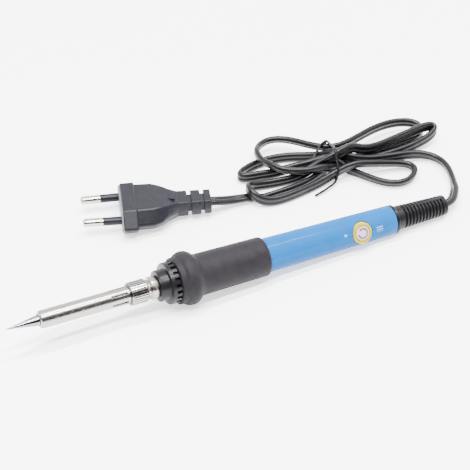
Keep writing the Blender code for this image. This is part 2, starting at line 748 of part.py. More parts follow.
# ---------------------------------------------------------------- dial and circuit
def dial():
    recess = SCALE_RADIUS + SEAT_GAP
    recess_floor = DIAL_FACE - SCALE_THICKNESS - SEAT_GAP + DIAL_PROUD / 2
    socket = SHAFT_RADIUS + SEAT_GAP
    socket_top = DIAL_BACK + SHAFT_IN_KNOB + SEAT_GAP
    chamfer = 0.3 * MM
    outer = [
        (DIAL_BACK, DIAL_RADIUS),
        (DIAL_FACE - chamfer, DIAL_RADIUS),
        (DIAL_FACE, DIAL_RADIUS - chamfer),
        (DIAL_FACE, recess),
        (recess_floor, recess),
        (recess_floor, 0.0),
    ]
    bore = [(DIAL_BACK, socket), (socket_top, socket), (socket_top, 0.0)]
    knob = turned("dial_knob", outer, bore)
    place(knob, DIAL, YELLOW_PLASTIC)
    scale_base = recess_floor + SEAT_GAP
    scale = solid_outline([(scale_base, SCALE_RADIUS), (scale_base + SCALE_THICKNESS, SCALE_RADIUS)])
    place(turned("dial_scale", scale, steps=SMALL_STEPS), DIAL, WHITE_PLASTIC)
    shaft_base = POT_TOP - SHAFT_IN_BODY
    shaft_top = DIAL_BACK + SHAFT_IN_KNOB
    shaft = solid_outline([(shaft_base, SHAFT_RADIUS), (shaft_top, SHAFT_RADIUS)])
    place(turned("dial_shaft", shaft, steps=SMALL_STEPS), DIAL, BLACK_NYLON)


def potentiometer():
    centre = (0.0, 0.0, (POT_TOP + POT_BASE) / 2)
    body = box("potentiometer_body", (POT_SIDE, POT_SIDE, POT_HEIGHT), centre)
    place(body, DIAL, BLACK_NYLON)
    hole_bottom = POT_TOP - SHAFT_IN_BODY - SEAT_GAP
    hole = rod(
        "shaft_hole_cutter",
        SHAFT_RADIUS + SLIDE_GAP,
        (0.0, 0.0, hole_bottom),
        (0.0, 0.0, DIAL_FACE),
    )
    boolean(body, as_cutter(hole, DIAL))


def circuit():
    middle = BOARD_BEHIND_DIAL - BOARD_LENGTH / 2
    level = (BOARD_TOP + BOARD_BOTTOM) / 2
    size = (BOARD_LENGTH, BOARD_WIDTH, BOARD_THICKNESS)
    place(box("circuit_board", size, (middle, 0.0, level)), DIAL, GLASS_LAMINATE)
    base = BOARD_TOP + SEAT_GAP

    arc = quarter((0.0, 0.0), TRIAC_RADIUS, TRIAC_RADIUS, -30, 210, 12)
    flat = [(x, max(y, -TRIAC_FLAT)) for x, y in arc]
    triac = plate("triac", flat, TRIAC_LENGTH)
    upright = Matrix.Translation((-TRIAC_AHEAD, 0.0, base + TRIAC_FLAT))
    moved(triac, upright @ Matrix.Rotation(math.pi / 2, 4, "Z") @ Matrix.Rotation(math.pi / 2, 4, "X"))
    place(triac, DIAL, BLACK_NYLON)

    half = DIAC_LENGTH / 2
    level = base + DIAC_RADIUS
    ends = (-DIAC_AHEAD, -half, level), (-DIAC_AHEAD, half, level)
    place(rod("diac", DIAC_RADIUS, *ends, 12), DIAL, BLUE_GLASS)

    centre = (-CAPACITOR_AHEAD, 0.0, base + CAPACITOR_SIZE[2] / 2)
    place(box("timing_capacitor", CAPACITOR_SIZE, centre), DIAL, YELLOW_PLASTIC)

    half = RESISTOR_LENGTH / 2
    level = base + RESISTOR_RADIUS
    ends = (-RESISTOR_AHEAD - half, 0.0, level), (-RESISTOR_AHEAD + half, 0.0, level)
    place(rod("dropper_resistor", RESISTOR_RADIUS, *ends, 16), DIAL, BEIGE_LACQUER)


def mains_leads():
    level = (BOARD_TOP + BOARD_BOTTOM) / 2
    board_rear = BOARD_BEHIND_DIAL + SEAT_GAP
    for name, side in (("mains_lead_live", 1), ("mains_lead_neutral", -1)):
        across = side * MAINS_LEAD_SPACING / 2
        start = board_point(board_rear, across, level)
        near = board_point(board_rear + 3 * MM, across, level)
        inside = board_point(END_RING_FRONT - DIAL_STATION, across, 0.0)
        end = board_point(BOOT_REAR - SEAT_GAP - DIAL_STATION, across, 0.0)
        route = smooth_route([start, near, inside, end], 3 * MM)
        place(wire(name, route, MAINS_LEAD_RADIUS), IRON, BLACK_PVC)


# ---------------------------------------------------------------- plug
def plug_section(margin=0.0):
    """Corners of the plug's six-sided section, as (across, up), drawn in by a margin."""
    half_width = PLUG_WIDTH / 2 - 1.25 * margin
    half_flat = PLUG_FLAT_WIDTH / 2 - 0.4 * margin
    half_height = PLUG_HEIGHT / 2 - margin
    return [
        (half_width, 0.0),
        (half_flat, half_height),
        (-half_flat, half_height),
        (-half_width, 0.0),
        (-half_flat, -half_height),
        (half_flat, -half_height),
    ]


def section_prism(name, margin, start, length):
    """A prism of the plug's section that starts at a distance behind its face."""
    prism = plate(name, plug_section(margin), length)
    along_x = Matrix(((0, 0, 1, 0), (1, 0, 0, 0), (0, 1, 0, 0), (0, 0, 0, 1)))
    return moved(prism, Matrix.Translation((start + length / 2, 0.0, 0.0)) @ along_x)


def profile_outline(front, body, relief):
    """Half-outline widths of the plug from its face to the cord, mirrored into a closed outline."""
    waist = (BODY_STRAIGHT_END + RELIEF_START) / 2
    upper = [
        (-SEAT_GAP, front),
        (BLOCK_LENGTH, front),
        (BLOCK_LENGTH + 0.6 * MM, body),
        (BODY_STRAIGHT_END, body * 0.985),
        (waist - 1.5 * MM, (body * 0.8 + relief * 0.2)),
        (waist + 2.5 * MM, (body * 0.3 + relief * 0.7)),
        (RELIEF_START, relief),
        (PLUG_LENGTH, relief * 0.92),
    ]
    return upper + [(x, -y) for x, y in reversed(upper)]


def plug_body():
    body = section_prism("plug_body", 0.0, 0.0, PLUG_LENGTH)
    place(body, PLUG, PLUG_PVC)
    plan = profile_outline(PLUG_WIDTH, BODY_WIDTH / 2, RELIEF_WIDTH / 2)
    side = profile_outline(PLUG_HEIGHT, BODY_HEIGHT / 2, RELIEF_HEIGHT / 2)
    from_above = plate("plug_plan_cutter", plan, 2 * PLUG_HEIGHT)
    from_side = plate("plug_side_cutter", side, 2 * PLUG_WIDTH)
    moved(from_side, Matrix.Rotation(math.pi / 2, 4, "X"))
    boolean(body, as_cutter(from_above, PLUG), "INTERSECT")
    boolean(body, as_cutter(from_side, PLUG), "INTERSECT")
    deep = BRIDGE_THICKNESS + SEAT_GAP
    recess = section_prism("bridge_recess_cutter", BRIDGE_MARGIN - SEAT_GAP, -deep, 2 * deep)
    boolean(body, as_cutter(recess, PLUG))
    for index, start in enumerate(RELIEF_GROOVE_STARTS):
        for side_name, side in (("left", 1), ("right", -1)):
            away = side * (RELIEF_WIDTH / 2 - RELIEF_GROOVE_DEPTH + RELIEF_WIDTH / 2)
            size = (RELIEF_GROOVE, RELIEF_WIDTH, RELIEF_HEIGHT * 2)
            name = f"relief_cutter_{side_name}_{index + 1}"
            cutter = box(name, size, (start + RELIEF_GROOVE / 2, away, 0.0))
            boolean(body, as_cutter(cutter, PLUG))
    for name, frame in (("left", PIN_LEFT), ("right", PIN_RIGHT)):
        pocket = rod(
            f"pin_pocket_cutter_{name}",
            PIN_CORE_RADIUS + SEAT_GAP,
            (0.0, 0.0, 0.0),
            (PIN_ROOT + SEAT_GAP, 0.0, 0.0),
        )
        boolean(body, as_cutter(pocket, frame))


def plug_bridge():
    bridge = section_prism("plug_bridge", BRIDGE_MARGIN, 0.0, BRIDGE_THICKNESS)
    place(bridge, PLUG, GREY_PLASTIC)
    for name, frame in (("left", PIN_LEFT), ("right", PIN_RIGHT)):
        hole = rod(
            f"pin_hole_cutter_{name}",
            PIN_SLEEVE_RADIUS + SEAT_GAP,
            (-BRIDGE_THICKNESS, 0.0, 0.0),
            (2 * BRIDGE_THICKNESS, 0.0, 0.0),
        )
        boolean(bridge, as_cutter(hole, frame))


def plug_pins():
    """Each pin is drawn in its own frame, with -Z of its outline towards the socket."""
    to_frame = Matrix(((0, 0, 1, 0), (0, 1, 0, 0), (-1, 0, 0, 0), (0, 0, 0, 1)))
    bare_end = -PIN_SLEEVE_LENGTH - SEAT_GAP
    tip = quarter(
        (-PIN_LENGTH + PIN_END_ROUND, PIN_RADIUS - PIN_END_ROUND),
        PIN_END_ROUND,
        PIN_END_ROUND,
        180,
        90,
        3,
    )
    for name, frame in (("left", PIN_LEFT), ("right", PIN_RIGHT)):
        outline = solid_outline(
            [*tip, (bare_end, PIN_RADIUS), (bare_end, PIN_CORE_RADIUS), (PIN_ROOT, PIN_CORE_RADIUS)]
        )
        pin = turned(f"plug_pin_{name}", outline, steps=SMALL_STEPS)
        pin.matrix_basis = to_frame
        place(pin, frame, NICKEL)
        rear = BRIDGE_THICKNESS - SEAT_GAP
        outer = [(-PIN_SLEEVE_LENGTH, PIN_SLEEVE_RADIUS), (rear, PIN_SLEEVE_RADIUS)]
        hole = PIN_CORE_RADIUS + SLIDE_GAP
        bore = [(-PIN_SLEEVE_LENGTH, hole), (rear, hole)]
        sleeve = turned(f"pin_sleeve_{name}", outer, bore, SMALL_STEPS)
        sleeve.matrix_basis = to_frame
        place(sleeve, frame, BLACK_NYLON)


# ---------------------------------------------------------------- cord
def in_world(station):
    """A point of the iron's axis, in the world."""
    return IRON_MATRIX @ Vector((0.0, 0.0, station))


def plug_point(along):
    """A point of the plug's centre line, in the world."""
    return PLUG_MATRIX @ Vector((along, 0.0, 0.0))


def cords():
    leave = BOOT_REAR + SEAT_GAP
    bends = [in_world(leave), in_world(leave + CORD_STRAIGHT)]
    bends += [Vector(bend) * MM for bend in HANDLE_CORD_BENDS]
    route = smooth_route(bends, CORD_SAMPLE)
    place(wire("mains_cord_handle_end", route, CORD_WIDTH / 2), None, BLACK_PVC)

    bends = [Vector(bend) * MM for bend in PLUG_CORD_BENDS]
    enter = PLUG_LENGTH + SEAT_GAP
    bends += [plug_point(enter + CORD_STRAIGHT), plug_point(enter)]
    route = smooth_route(bends, CORD_SAMPLE)
    place(wire("mains_cord_plug_end", route, CORD_WIDTH / 2), None, BLACK_PVC)


def hank():
    outline = [(x * MM, y * MM) for x, y in HANK_OUTLINE]
    solid = plate("cord_hank", outline, HANK_HEIGHT, smooth=True)
    moved(solid, Matrix.Translation((0.0, 0.0, HANK_HEIGHT / 2)))
    place(solid, None, BLACK_PVC)
    channel = 2 * (TIE_RADIUS + SEAT_GAP)
    turn = Matrix.Translation(TIE_CENTRE) @ Matrix.Rotation(TIE_HEADING, 4, "Z")
    size = (2 * TIE_SPAN, channel, 2 * channel)
    cutter = box("tie_channel_cutter", size, (0.0, 0.0, 0.0), turn)
    boolean(solid, as_cutter(cutter, None))


def twist_tie():
    """A loop round the waist of the hank, closed above it, with its two twisted ends."""
    turn = Matrix.Translation(TIE_CENTRE) @ Matrix.Rotation(TIE_HEADING, 4, "Z")
    low = TIE_RADIUS + SLIDE_GAP
    high = HANK_HEIGHT + TIE_RADIUS + SEAT_GAP
    half = TIE_SPAN / 2
    round_off = 1.5 * MM
    corners = [
        (-half + round_off, low),
        (half - round_off, low),
        (half, low + round_off),
        (half, high - round_off),
        (half - round_off, high),
        (-half + round_off, high),
        (-half, high - round_off),
        (-half, low + 2.5 * round_off),
    ]
    points = [turn @ Vector((across, 0.0, level)) for across, level in corners]
    place(wire("twist_tie", points, TIE_RADIUS), None, BLACK_PVC)


# ---------------------------------------------------------------- assembly
clear_scene()
PIECES = collection("Soldering iron")
CUTTERS = collection("Cutters")
VENTS = collection("Vent cutters")

TIP_PLATING = finish("tip plating", (0.80, 0.80, 0.80), 0.12, 1.0)
STAINLESS = finish("polished stainless", (0.72, 0.71, 0.70), 0.16, 1.0)
NICKEL = finish("bright nickel", (0.74, 0.71, 0.68), 0.22, 1.0)
CERAMIC = finish("white ceramic", (0.85, 0.84, 0.80), 0.55)
GLASS_SLEEVE = finish("glass fibre sleeve", (0.78, 0.76, 0.70), 0.8)
BLACK_NYLON = finish("black nylon", (0.02, 0.02, 0.022), 0.42)
SILICONE = finish("dark silicone", (0.045, 0.045, 0.05), 0.62)
BLUE_PLASTIC = finish("blue gloss plastic", (0.05, 0.36, 0.85), 0.14)
BLACK_PVC = finish("black PVC", (0.03, 0.03, 0.032), 0.45)
PLUG_PVC = finish("plug PVC", (0.055, 0.055, 0.065), 0.48)
GREY_PLASTIC = finish("grey plastic", (0.30, 0.30, 0.31), 0.5)
YELLOW_PLASTIC = finish("yellow plastic", (0.88, 0.80, 0.22), 0.4)
WHITE_PLASTIC = finish("white plastic", (0.86, 0.84, 0.80), 0.45)
GLASS_LAMINATE = finish("green laminate", (0.07, 0.25, 0.10), 0.4)
BLUE_GLASS = finish("blue glass bead", (0.05, 0.12, 0.45), 0.25)
BEIGE_LACQUER = finish("beige lacquer", (0.72, 0.58, 0.40), 0.5)

# Empties: the iron's own axis, the dial's axis on it, the plug and its two pins.
IRON_MATRIX = Matrix.Translation((TIP_X, 0.0, TIP_HEIGHT)) @ Euler(
    (0.0, -(math.pi / 2 + TILT), math.pi)
).to_matrix().to_4x4()
IRON = empty("iron_axis", None, IRON_MATRIX)
NORMAL = Vector((math.sin(DIAL_ELEVATION), math.cos(DIAL_ELEVATION), 0.0))
REARWARD = Vector((0.0, 0.0, 1.0))
DIAL_TURN = Matrix((REARWARD, NORMAL.cross(REARWARD), NORMAL)).transposed().to_4x4()
DIAL_MATRIX = Matrix.Translation((0.0, 0.0, DIAL_STATION)) @ DIAL_TURN
DIAL = empty("dial_axis", IRON, DIAL_MATRIX)
PLUG_MATRIX = (
    Matrix.Translation(PLUG_PLACE + Vector((0.0, 0.0, PLUG_HEIGHT / 2)))
    @ Matrix.Rotation(PLUG_HEADING, 4, "Z")
)
PLUG = empty("plug_axis", None, PLUG_MATRIX)
PIN_LEFT = empty(
    "pin_left_axis",
    PLUG,
    Matrix.Translation((0.0, PIN_BASE_SPACING / 2, 0.0)) @ Matrix.Rotation(PIN_LEAN, 4, "Z"),
)
PIN_RIGHT = empty(
    "pin_right_axis",
    PLUG,
    Matrix.Translation((0.0, -PIN_BASE_SPACING / 2, 0.0)) @ Matrix.Rotation(-PIN_LEAN, 4, "Z"),
)

soldering_tip()
barrel_tube()
knurled_nut()
threaded_collar()
heater()
heater_leads()
nose_cap()
grip_sleeve()
handle_shell()
end_collar()
strain_relief_boot()
dial()
potentiometer()
circuit()
mains_leads()
plug_body()
plug_bridge()
plug_pins()
cords()
hank()
twist_tie()
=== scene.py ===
"""Looks of a mains soldering iron with a dial, a tied hank of flat twin cord and a two-pin plug.

The iron lies on a table at z = 0 with its tip towards -X. Its turned pieces are drawn on an upright
axis, where a height is the distance behind the point of the tip, and are then laid in place. The
dial and the plug have axes of their own. All sizes are in millimetres until a piece is placed.
"""

from __future__ import annotations

import logging
import math
from collections.abc import Callable, Sequence
from dataclasses import dataclass, field
from enum import Enum

import bmesh
import bpy
import numpy as np
from mathutils import Euler, Matrix, Vector


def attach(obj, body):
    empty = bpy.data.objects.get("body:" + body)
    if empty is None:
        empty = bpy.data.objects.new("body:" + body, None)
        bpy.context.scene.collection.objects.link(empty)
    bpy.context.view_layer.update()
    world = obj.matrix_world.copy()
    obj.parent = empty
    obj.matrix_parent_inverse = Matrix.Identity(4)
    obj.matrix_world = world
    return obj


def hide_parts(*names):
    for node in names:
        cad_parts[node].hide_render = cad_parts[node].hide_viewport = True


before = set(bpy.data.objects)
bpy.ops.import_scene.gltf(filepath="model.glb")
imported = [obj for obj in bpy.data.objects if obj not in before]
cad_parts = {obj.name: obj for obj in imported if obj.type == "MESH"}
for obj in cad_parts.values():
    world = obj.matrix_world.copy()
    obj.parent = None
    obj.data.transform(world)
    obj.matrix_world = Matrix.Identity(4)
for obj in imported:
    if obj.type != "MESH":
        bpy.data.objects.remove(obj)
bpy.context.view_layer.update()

LOG = logging.getLogger("soldering_iron")
MM = 0.001

Point = tuple[float, float, float]
Profile = Sequence[tuple[float, float]]
Colour = tuple[float, float, float, float]
Piece = bpy.types.Object
Finish = bpy.types.Material

# ---------------------------------------------------------------- the axes that pieces stand on
TILT = math.radians(2.873)
IRON_AXIS = Matrix.Translation((-111.034 * MM, 0.0, 16.68 * MM)) @ Euler(
    (0.0, -(math.pi / 2 + TILT), math.pi)
).to_matrix().to_4x4()
DIAL_STATION = 172.9
DIAL_ELEVATION = math.radians(22)
_NORMAL = Vector((math.sin(DIAL_ELEVATION), math.cos(DIAL_ELEVATION), 0.0))
_REARWARD = Vector((0.0, 0.0, 1.0))
DIAL_AXIS = (
    IRON_AXIS
    @ Matrix.Translation((0.0, 0.0, DIAL_STATION * MM))
    @ Matrix((_REARWARD, _NORMAL.cross(_REARWARD), _NORMAL)).transposed().to_4x4()
)
PLUG_AXIS = Matrix.Translation((-27.9 * MM, 66.5 * MM, 6.85 * MM)) @ Matrix.Rotation(
    math.radians(-19.3), 4, "Z"
)
# The plug's pieces are drawn upright too, with their height running from its face to the cord.
PLUG_UPRIGHT = PLUG_AXIS @ Matrix(((0, 0, 1, 0), (1, 0, 0, 0), (0, 1, 0, 0), (0, 0, 0, 1)))


class Body(str, Enum):
    """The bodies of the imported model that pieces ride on."""

    HANDLE = "handle"
    BARREL = "barrel"
    NUT = "nut"
    DIAL = "dial"


# ---------------------------------------------------------------- materials
def math_node(operation: str, swapped: bool = False) -> Callable[[Value, object], Value]:
    """A method of Value that adds one Math node.

    Args:
        operation: The node's operation.
        swapped: Whether the value itself is the second input.

    Returns:
        The method.
    """

    def method(self: Value, other: object) -> Value:
        first, second = (other, self) if swapped else (self, other)
        return self.graph.node("ShaderNodeMath", {"operation": operation}, {0: first, 1: second})

    return method


class Value:
    """A number that varies over a surface: one output socket of a material's nodes."""

    def __init__(self, graph: Graph, socket: bpy.types.NodeSocket) -> None:
        """Keeps the graph and the socket that it stands for."""
        self.graph = graph
        self.socket = socket

    __add__ = __radd__ = math_node("ADD")
    __sub__ = math_node("SUBTRACT")
    __rsub__ = math_node("SUBTRACT", swapped=True)
    __mul__ = __rmul__ = math_node("MULTIPLY")
    __truediv__ = math_node("DIVIDE")
    __gt__ = math_node("GREATER_THAN")
    __lt__ = math_node("LESS_THAN")
    power = math_node("POWER")
    least = math_node("MINIMUM")
    most = math_node("MAXIMUM")

    def one_input(self, operation: str) -> Value:
        """The result of a Math node with one input."""
        return self.graph.node("ShaderNodeMath", {"operation": operation}, {0: self})

    def size(self) -> Value:
        """The value without its sign."""
        return self.one_input("ABSOLUTE")

    def ramp(self, low: float, high: float, start: float = 0.0, stop: float = 1.0) -> Value:
        """Smoothly maps the value from low..high to start..stop.

        Args:
            low: Input that gives start.
            high: Input that gives stop.
            start: Result at low.
            stop: Result at high.

        Returns:
            The mapped value, held at its ends.
        """
        settings = {"interpolation_type": "SMOOTHSTEP"}
        inputs = {0: self, 1: low, 2: high, 3: start, 4: stop}
        return self.graph.node("ShaderNodeMapRange", settings, inputs)


class Graph:
    """The nodes of one material, or of the room, behind its shader."""

    def __init__(self, owner: Finish | bpy.types.World, shader: str = "Principled BSDF") -> None:
        """Keeps the owner's nodes and finds the shader among them."""
        owner.use_nodes = True
        self.tree = owner.node_tree
        self.shader = self.tree.nodes[shader]

    def node(
        self, kind: str, settings: dict[str, object], inputs: dict[object, object], output: int = 0
    ) -> Value:
        """Adds a node.

        Args:
            kind: The node's type.
            settings: Properties that are set before its sockets.
            inputs: Numbers, colours, vectors or values, by socket name or index.
            output: Index of the output that is returned.

        Returns:
            The chosen output.
        """
        made = self.tree.nodes.new(kind)
        for key, setting in settings.items():
            setattr(made, key, setting)
        for key, given in inputs.items():
            self.feed(made.inputs[key], given)
        return Value(self, made.outputs[output])

    def feed(self, socket: bpy.types.NodeSocket, given: object) -> None:
        """Links a value to a socket, or sets a constant on it."""
        if isinstance(given, Value):
            self.tree.links.new(given.socket, socket)
        else:
            socket.default_value = given

    def place(self, axis: Matrix | None = None, stretch: Point = (1, 1, 1)) -> Value:
        """Object coordinates in millimetres, measured along one of the axes that pieces stand on.

        Args:
            axis: The axis, or None for the table's own frame.
            stretch: Factors on the three coordinates.

        Returns:
            The coordinates as a vector.
        """
        point = self.node("ShaderNodeTexCoord", {}, {}, output=3)
        inverse = (axis or Matrix.Identity(4)).inverted()
        inputs = {
            "Vector": point,
            "Location": inverse.to_translation() / MM,
            "Rotation": inverse.to_euler(),
            "Scale": (1 / MM,) * 3,
        }
        laid = self.node("ShaderNodeMapping", {"vector_type": "POINT"}, inputs)
        if tuple(stretch) == (1, 1, 1):
            return laid
        return self.node("ShaderNodeVectorMath", {"operation": "MULTIPLY"}, {0: laid, 1: stretch})

    def along_map(self, stretch: Point) -> Value:
        """The piece's own UV map, which runs along and round a cord, in millimetres."""
        point = self.node("ShaderNodeUVMap", {"uv_map": "run"}, {})
        return self.node("ShaderNodeVectorMath", {"operation": "MULTIPLY"}, {0: point, 1: stretch})

    def parts(self, vector: Value) -> tuple[Value, Value, Value]:
        """The three coordinates of a vector."""
        first = self.node("ShaderNodeSeparateXYZ", {}, {0: vector})
        outputs = first.socket.node.outputs
        return first, Value(self, outputs[1]), Value(self, outputs[2])

    def noise(self, at: Value, scale: float, detail: float = 3.0, rough: float = 0.55) -> Value:
        """Fractal noise from 0 to 1, whose features are about 1 / scale millimetres across."""
        inputs = {"Vector": at, "Scale": scale, "Detail": detail, "Roughness": rough}
        return self.node("ShaderNodeTexNoise", {}, inputs)

    def cells(self, at: Value, scale: float) -> Value:
        """Distance to the nearest point of a random scatter."""
        return self.node("ShaderNodeTexVoronoi", {}, {"Vector": at, "Scale": scale})

    def mix(self, share: object, first: object, second: object) -> Value:
        """A colour between two others."""
        settings = {"data_type": "RGBA", "clamp_factor": True}
        return self.node("ShaderNodeMix", settings, {0: share, 6: first, 7: second}, output=2)

    def bump(self, height: Value, depth: float, strength: float = 1.0) -> Value:
        """A normal from a height field, with its depth in millimetres."""
        inputs = {"Strength": strength, "Distance": depth * MM, "Height": height}
        return self.node("ShaderNodeBump", {}, inputs)

    def set(self, **sockets: object) -> None:
        """Sets or links the shader's sockets, named with underscores for spaces."""
        for key, given in sockets.items():
            self.feed(self.shader.inputs[key.replace("_", " ")], given)


def rgb(red: float, green: float, blue: float) -> Colour:
    """An opaque colour in linear light."""
    return red, green, blue, 1.0


def tinted(colour: Colour, share: float) -> Colour:
    """A colour made darker or lighter by a factor."""
    return (*(share * part for part in colour[:3]), 1.0)


@dataclass(frozen=True)
class Look:
    """A named finish, whose nodes a subclass paints."""

    name: str
    colour: Colour

    def material(self) -> Finish:
        """Builds the material."""
        made = bpy.data.materials.new(self.name)
        self.paint(Graph(made))
        return made

    def paint(self, graph: Graph) -> None:
        """Links the finish's nodes to the shader."""
        raise NotImplementedError


@dataclass(frozen=True)
class Metal(Look):
    """A plated or polished metal, with turning marks, fine scratches, finger smudges and, where
    asked, painted shade in grooves and inside the barrel.
    """

    rough: float
    axis: Matrix
    smudge: float = 0.08
    marks: float = 0.2
    groove_shade_below: float = 0.0
    shank_shade_from: float = 0.0

    def paint(self, graph: Graph) -> None:
        """Links the finish's nodes to the shader."""
        here = graph.place(self.axis)
        turning = graph.noise(graph.place(self.axis, (0.4, 0.4, 14.0)), 1.0, 3.0)
        scratches = graph.noise(graph.place(self.axis, (9.0, 9.0, 0.35)), 1.0, 2.0)
        cloud = graph.noise(here, 0.35, 4.0)
        spots = graph.noise(here, 2.2, 2.0)
        smudged = self.rough + self.smudge * cloud.ramp(0.45, 0.75)
        rough = smudged + 0.05 * scratches.ramp(0.55, 0.8)
        darker = tinted(self.colour, 0.86)
        colour = graph.mix(spots.ramp(0.5, 0.85) * 0.6, self.colour, darker)
        # Painted shade: below this radius the grooves between the ribs are darkened almost to
        # black.
        if self.groove_shade_below:
            first, second, _ = graph.parts(here)
            radius = (first * first + second * second).power(0.5)
            groove_shade = tinted(self.colour, 0.10)
            low, high = self.groove_shade_below - 0.12, self.groove_shade_below + 0.04
            colour = graph.mix(radius.ramp(low, high, 0.85, 0.0), colour, groove_shade)
        # Painted shade: beyond this station the shank inside the barrel, seen through the slots, is
        # painted near black with the colour below.
        if self.shank_shade_from:
            _, _, station = graph.parts(here)
            scale = tinted(self.colour, 0.06)
            colour = graph.mix(station > self.shank_shade_from, colour, scale)
        height = turning * self.marks + scratches * 0.25
        graph.set(
            Base_Color=colour,
            Metallic=1.0,
            Roughness=rough,
            Normal=graph.bump(height, 0.0012, 0.5),
        )


@dataclass(frozen=True)
class Moulded(Look):
    """A moulded plastic or rubber, with a fine grain, cloudy sheen and a little pale dust."""

    rough: float
    grain: float = 0.02
    grain_size: float = 6.0
    variation: float = 0.14
    dust: float = 0.0
    coat: float = 0.0
    specular: float = 0.16
    soft: float = 0.0

    def paint(self, graph: Graph) -> None:
        """Links the finish's nodes to the shader."""
        here = graph.place()
        cloud = graph.noise(here, 0.22, 4.0)
        fine = graph.noise(here, self.grain_size, 4.0, 0.6)
        darker, lighter = (tinted(self.colour, 1 + sign * self.variation) for sign in (-1, 1))
        colour = graph.mix(cloud.ramp(0.3, 0.7), darker, lighter)
        if self.dust:
            specks = graph.cells(here, 0.9) < 0.055
            film = graph.noise(here, 0.6, 5.0).ramp(0.55, 0.8) * 0.25
            share = (specks * graph.noise(here, 0.5, 1.0).ramp(0.52, 0.6)).most(film) * self.dust
            colour = graph.mix(share, colour, rgb(0.10, 0.10, 0.10))
        rough = self.rough + 0.07 * (cloud - 0.5) + 0.06 * (fine - 0.5)
        graph.set(
            Base_Color=colour,
            Roughness=rough,
            Specular_IOR_Level=self.specular,
            Coat_Weight=self.coat,
            Coat_Roughness=0.08,
            Subsurface_Weight=self.soft,
            Subsurface_Scale=0.6 * MM,
            Normal=graph.bump(fine, self.grain, 0.7),
        )


@dataclass(frozen=True)
class CordSheath(Look):
    """Extruded PVC: drawn lines along the cord, slow waves of sheen and small rubbed places."""

    rough: float = 0.4
    specular: float = 0.22

    def paint(self, graph: Graph) -> None:
        """Links the finish's nodes to the shader."""
        lines = graph.noise(graph.along_map((0.05, 3.2, 0.0)), 1.0, 2.0)
        waves = graph.noise(graph.along_map((0.12, 0.5, 0.0)), 1.0, 3.0)
        rubbed = graph.noise(graph.along_map((0.5, 1.4, 0.0)), 1.0, 4.0)
        grey = tuple(part * 1.8 + 0.001 for part in self.colour[:3]) + (1.0,)
        colour = graph.mix(rubbed.ramp(0.56, 0.8) * 0.5, self.colour, grey)
        rough = self.rough + 0.10 * (waves - 0.5) + 0.12 * rubbed.ramp(0.55, 0.8)
        height = lines * 0.7 + rubbed * 0.5
        graph.set(
            Base_Color=colour,
            Roughness=rough,
            Specular_IOR_Level=self.specular,
            Normal=graph.bump(height, 0.03, 0.6),
        )


@dataclass(frozen=True)
class GlossShell(Look):
    """Lacquered blue plastic with a printed pointer and a printed panel beside the dial, and
    painted shade under the grip sleeve.
    """

    ink: Colour
    pointer_front: float = 9.6
    pointer_back: float = 6.0
    pointer_across: float = 1.1
    panel_along: float = 9.4
    panel_half_length: float = 1.7
    panel_half_width: float = 1.35
    sleeve_shade_end: float = 122.0

    def paint(self, graph: Graph) -> None:
        """Links the finish's nodes to the shader."""
        here = graph.place()
        along, across, _ = graph.parts(graph.place(DIAL_AXIS))
        cloud = graph.noise(here, 0.12, 3.0)
        peel = graph.noise(here, 0.9, 2.0)
        scuffs = graph.noise(graph.place(IRON_AXIS, (2.5, 2.5, 0.2)), 1.0, 4.0)
        deep = tinted(self.colour, 0.93)
        colour = graph.mix(cloud.ramp(0.3, 0.7), deep, self.colour)
        front = along + self.pointer_front
        beside = (across - self.pointer_across).size()
        pointer = (front > 0.0) * (beside < 0.72 - front * 0.42) * (along < -self.pointer_back)
        row = (across + 0.2).size()
        stripe = ((across + 1.9) * 0.86).one_input("FRACT") < 0.55
        reach = (along - self.panel_along).size()
        panel = (reach < self.panel_half_length) * (row < self.panel_half_width) * stripe
        worn = graph.noise(here, 3.0, 3.0).ramp(0.25, 0.45)
        share = (pointer + panel * 0.55).least(1.0) * worn
        # Painted shade: in front of this station, under the grip sleeve, the blue is painted near
        # black.
        _, _, station = graph.parts(graph.place(IRON_AXIS))
        colour = graph.mix(station < self.sleeve_shade_end, colour, rgb(0.01, 0.01, 0.012))
        graph.set(
            Base_Color=graph.mix(share, colour, self.ink),
            Roughness=0.2 + 0.07 * scuffs.ramp(0.5, 0.8) + 0.2 * share,
            Specular_IOR_Level=0.03,
            Coat_Weight=0.08,
            Coat_Roughness=0.05,
            Normal=graph.bump(peel + scuffs * 0.2, 0.006, 0.5),
        )


@dataclass(frozen=True)
class Laminate(Look):
    """Glass laminate under green lacquer, with the weave showing and pale tracks beneath it."""

    def paint(self, graph: Graph) -> None:
        """Links the finish's nodes to the shader."""
        along, across, _ = graph.parts(graph.place(DIAL_AXIS))
        weave = self.wave(along) * self.wave(across)
        track = ((across - 2.8).size() < 0.5).most((across + 2.8).size() < 0.5)
        pale = tinted(self.colour, 1.6)
        colour = graph.mix(track * 0.7 + weave * 0.25, self.colour, pale)
        height = weave + track
        graph.set(Base_Color=colour, Roughness=0.32, Normal=graph.bump(height, 0.03, 0.6))

    @staticmethod
    def wave(run: Value) -> Value:
        """One thread direction of the weave."""
        return (run * 9.0).one_input("SINE").size()


@dataclass(frozen=True)
class Fibre(Look):
    """A braided glass-fibre sleeve."""

    def paint(self, graph: Graph) -> None:
        """Links the finish's nodes to the shader."""
        first = graph.noise(graph.place(IRON_AXIS, (4.0, 4.0, 1.4)), 1.0, 2.0)
        cross = graph.cells(graph.place(IRON_AXIS, (2.0, 2.0, 2.0)), 1.2)
        dark = tinted(self.colour, 0.55)
        colour = graph.mix(cross.ramp(0.1, 0.5), self.colour, dark)
        graph.set(Base_Color=colour, Roughness=0.8, Normal=graph.bump(first + cross, 0.08))


# ---------------------------------------------------------------- modelling
def alone(piece: Piece) -> None:
    """Selects one object only and makes it active."""
    bpy.ops.object.select_all(action="DESELECT")
    piece.select_set(True)
    bpy.context.view_layer.objects.active = piece


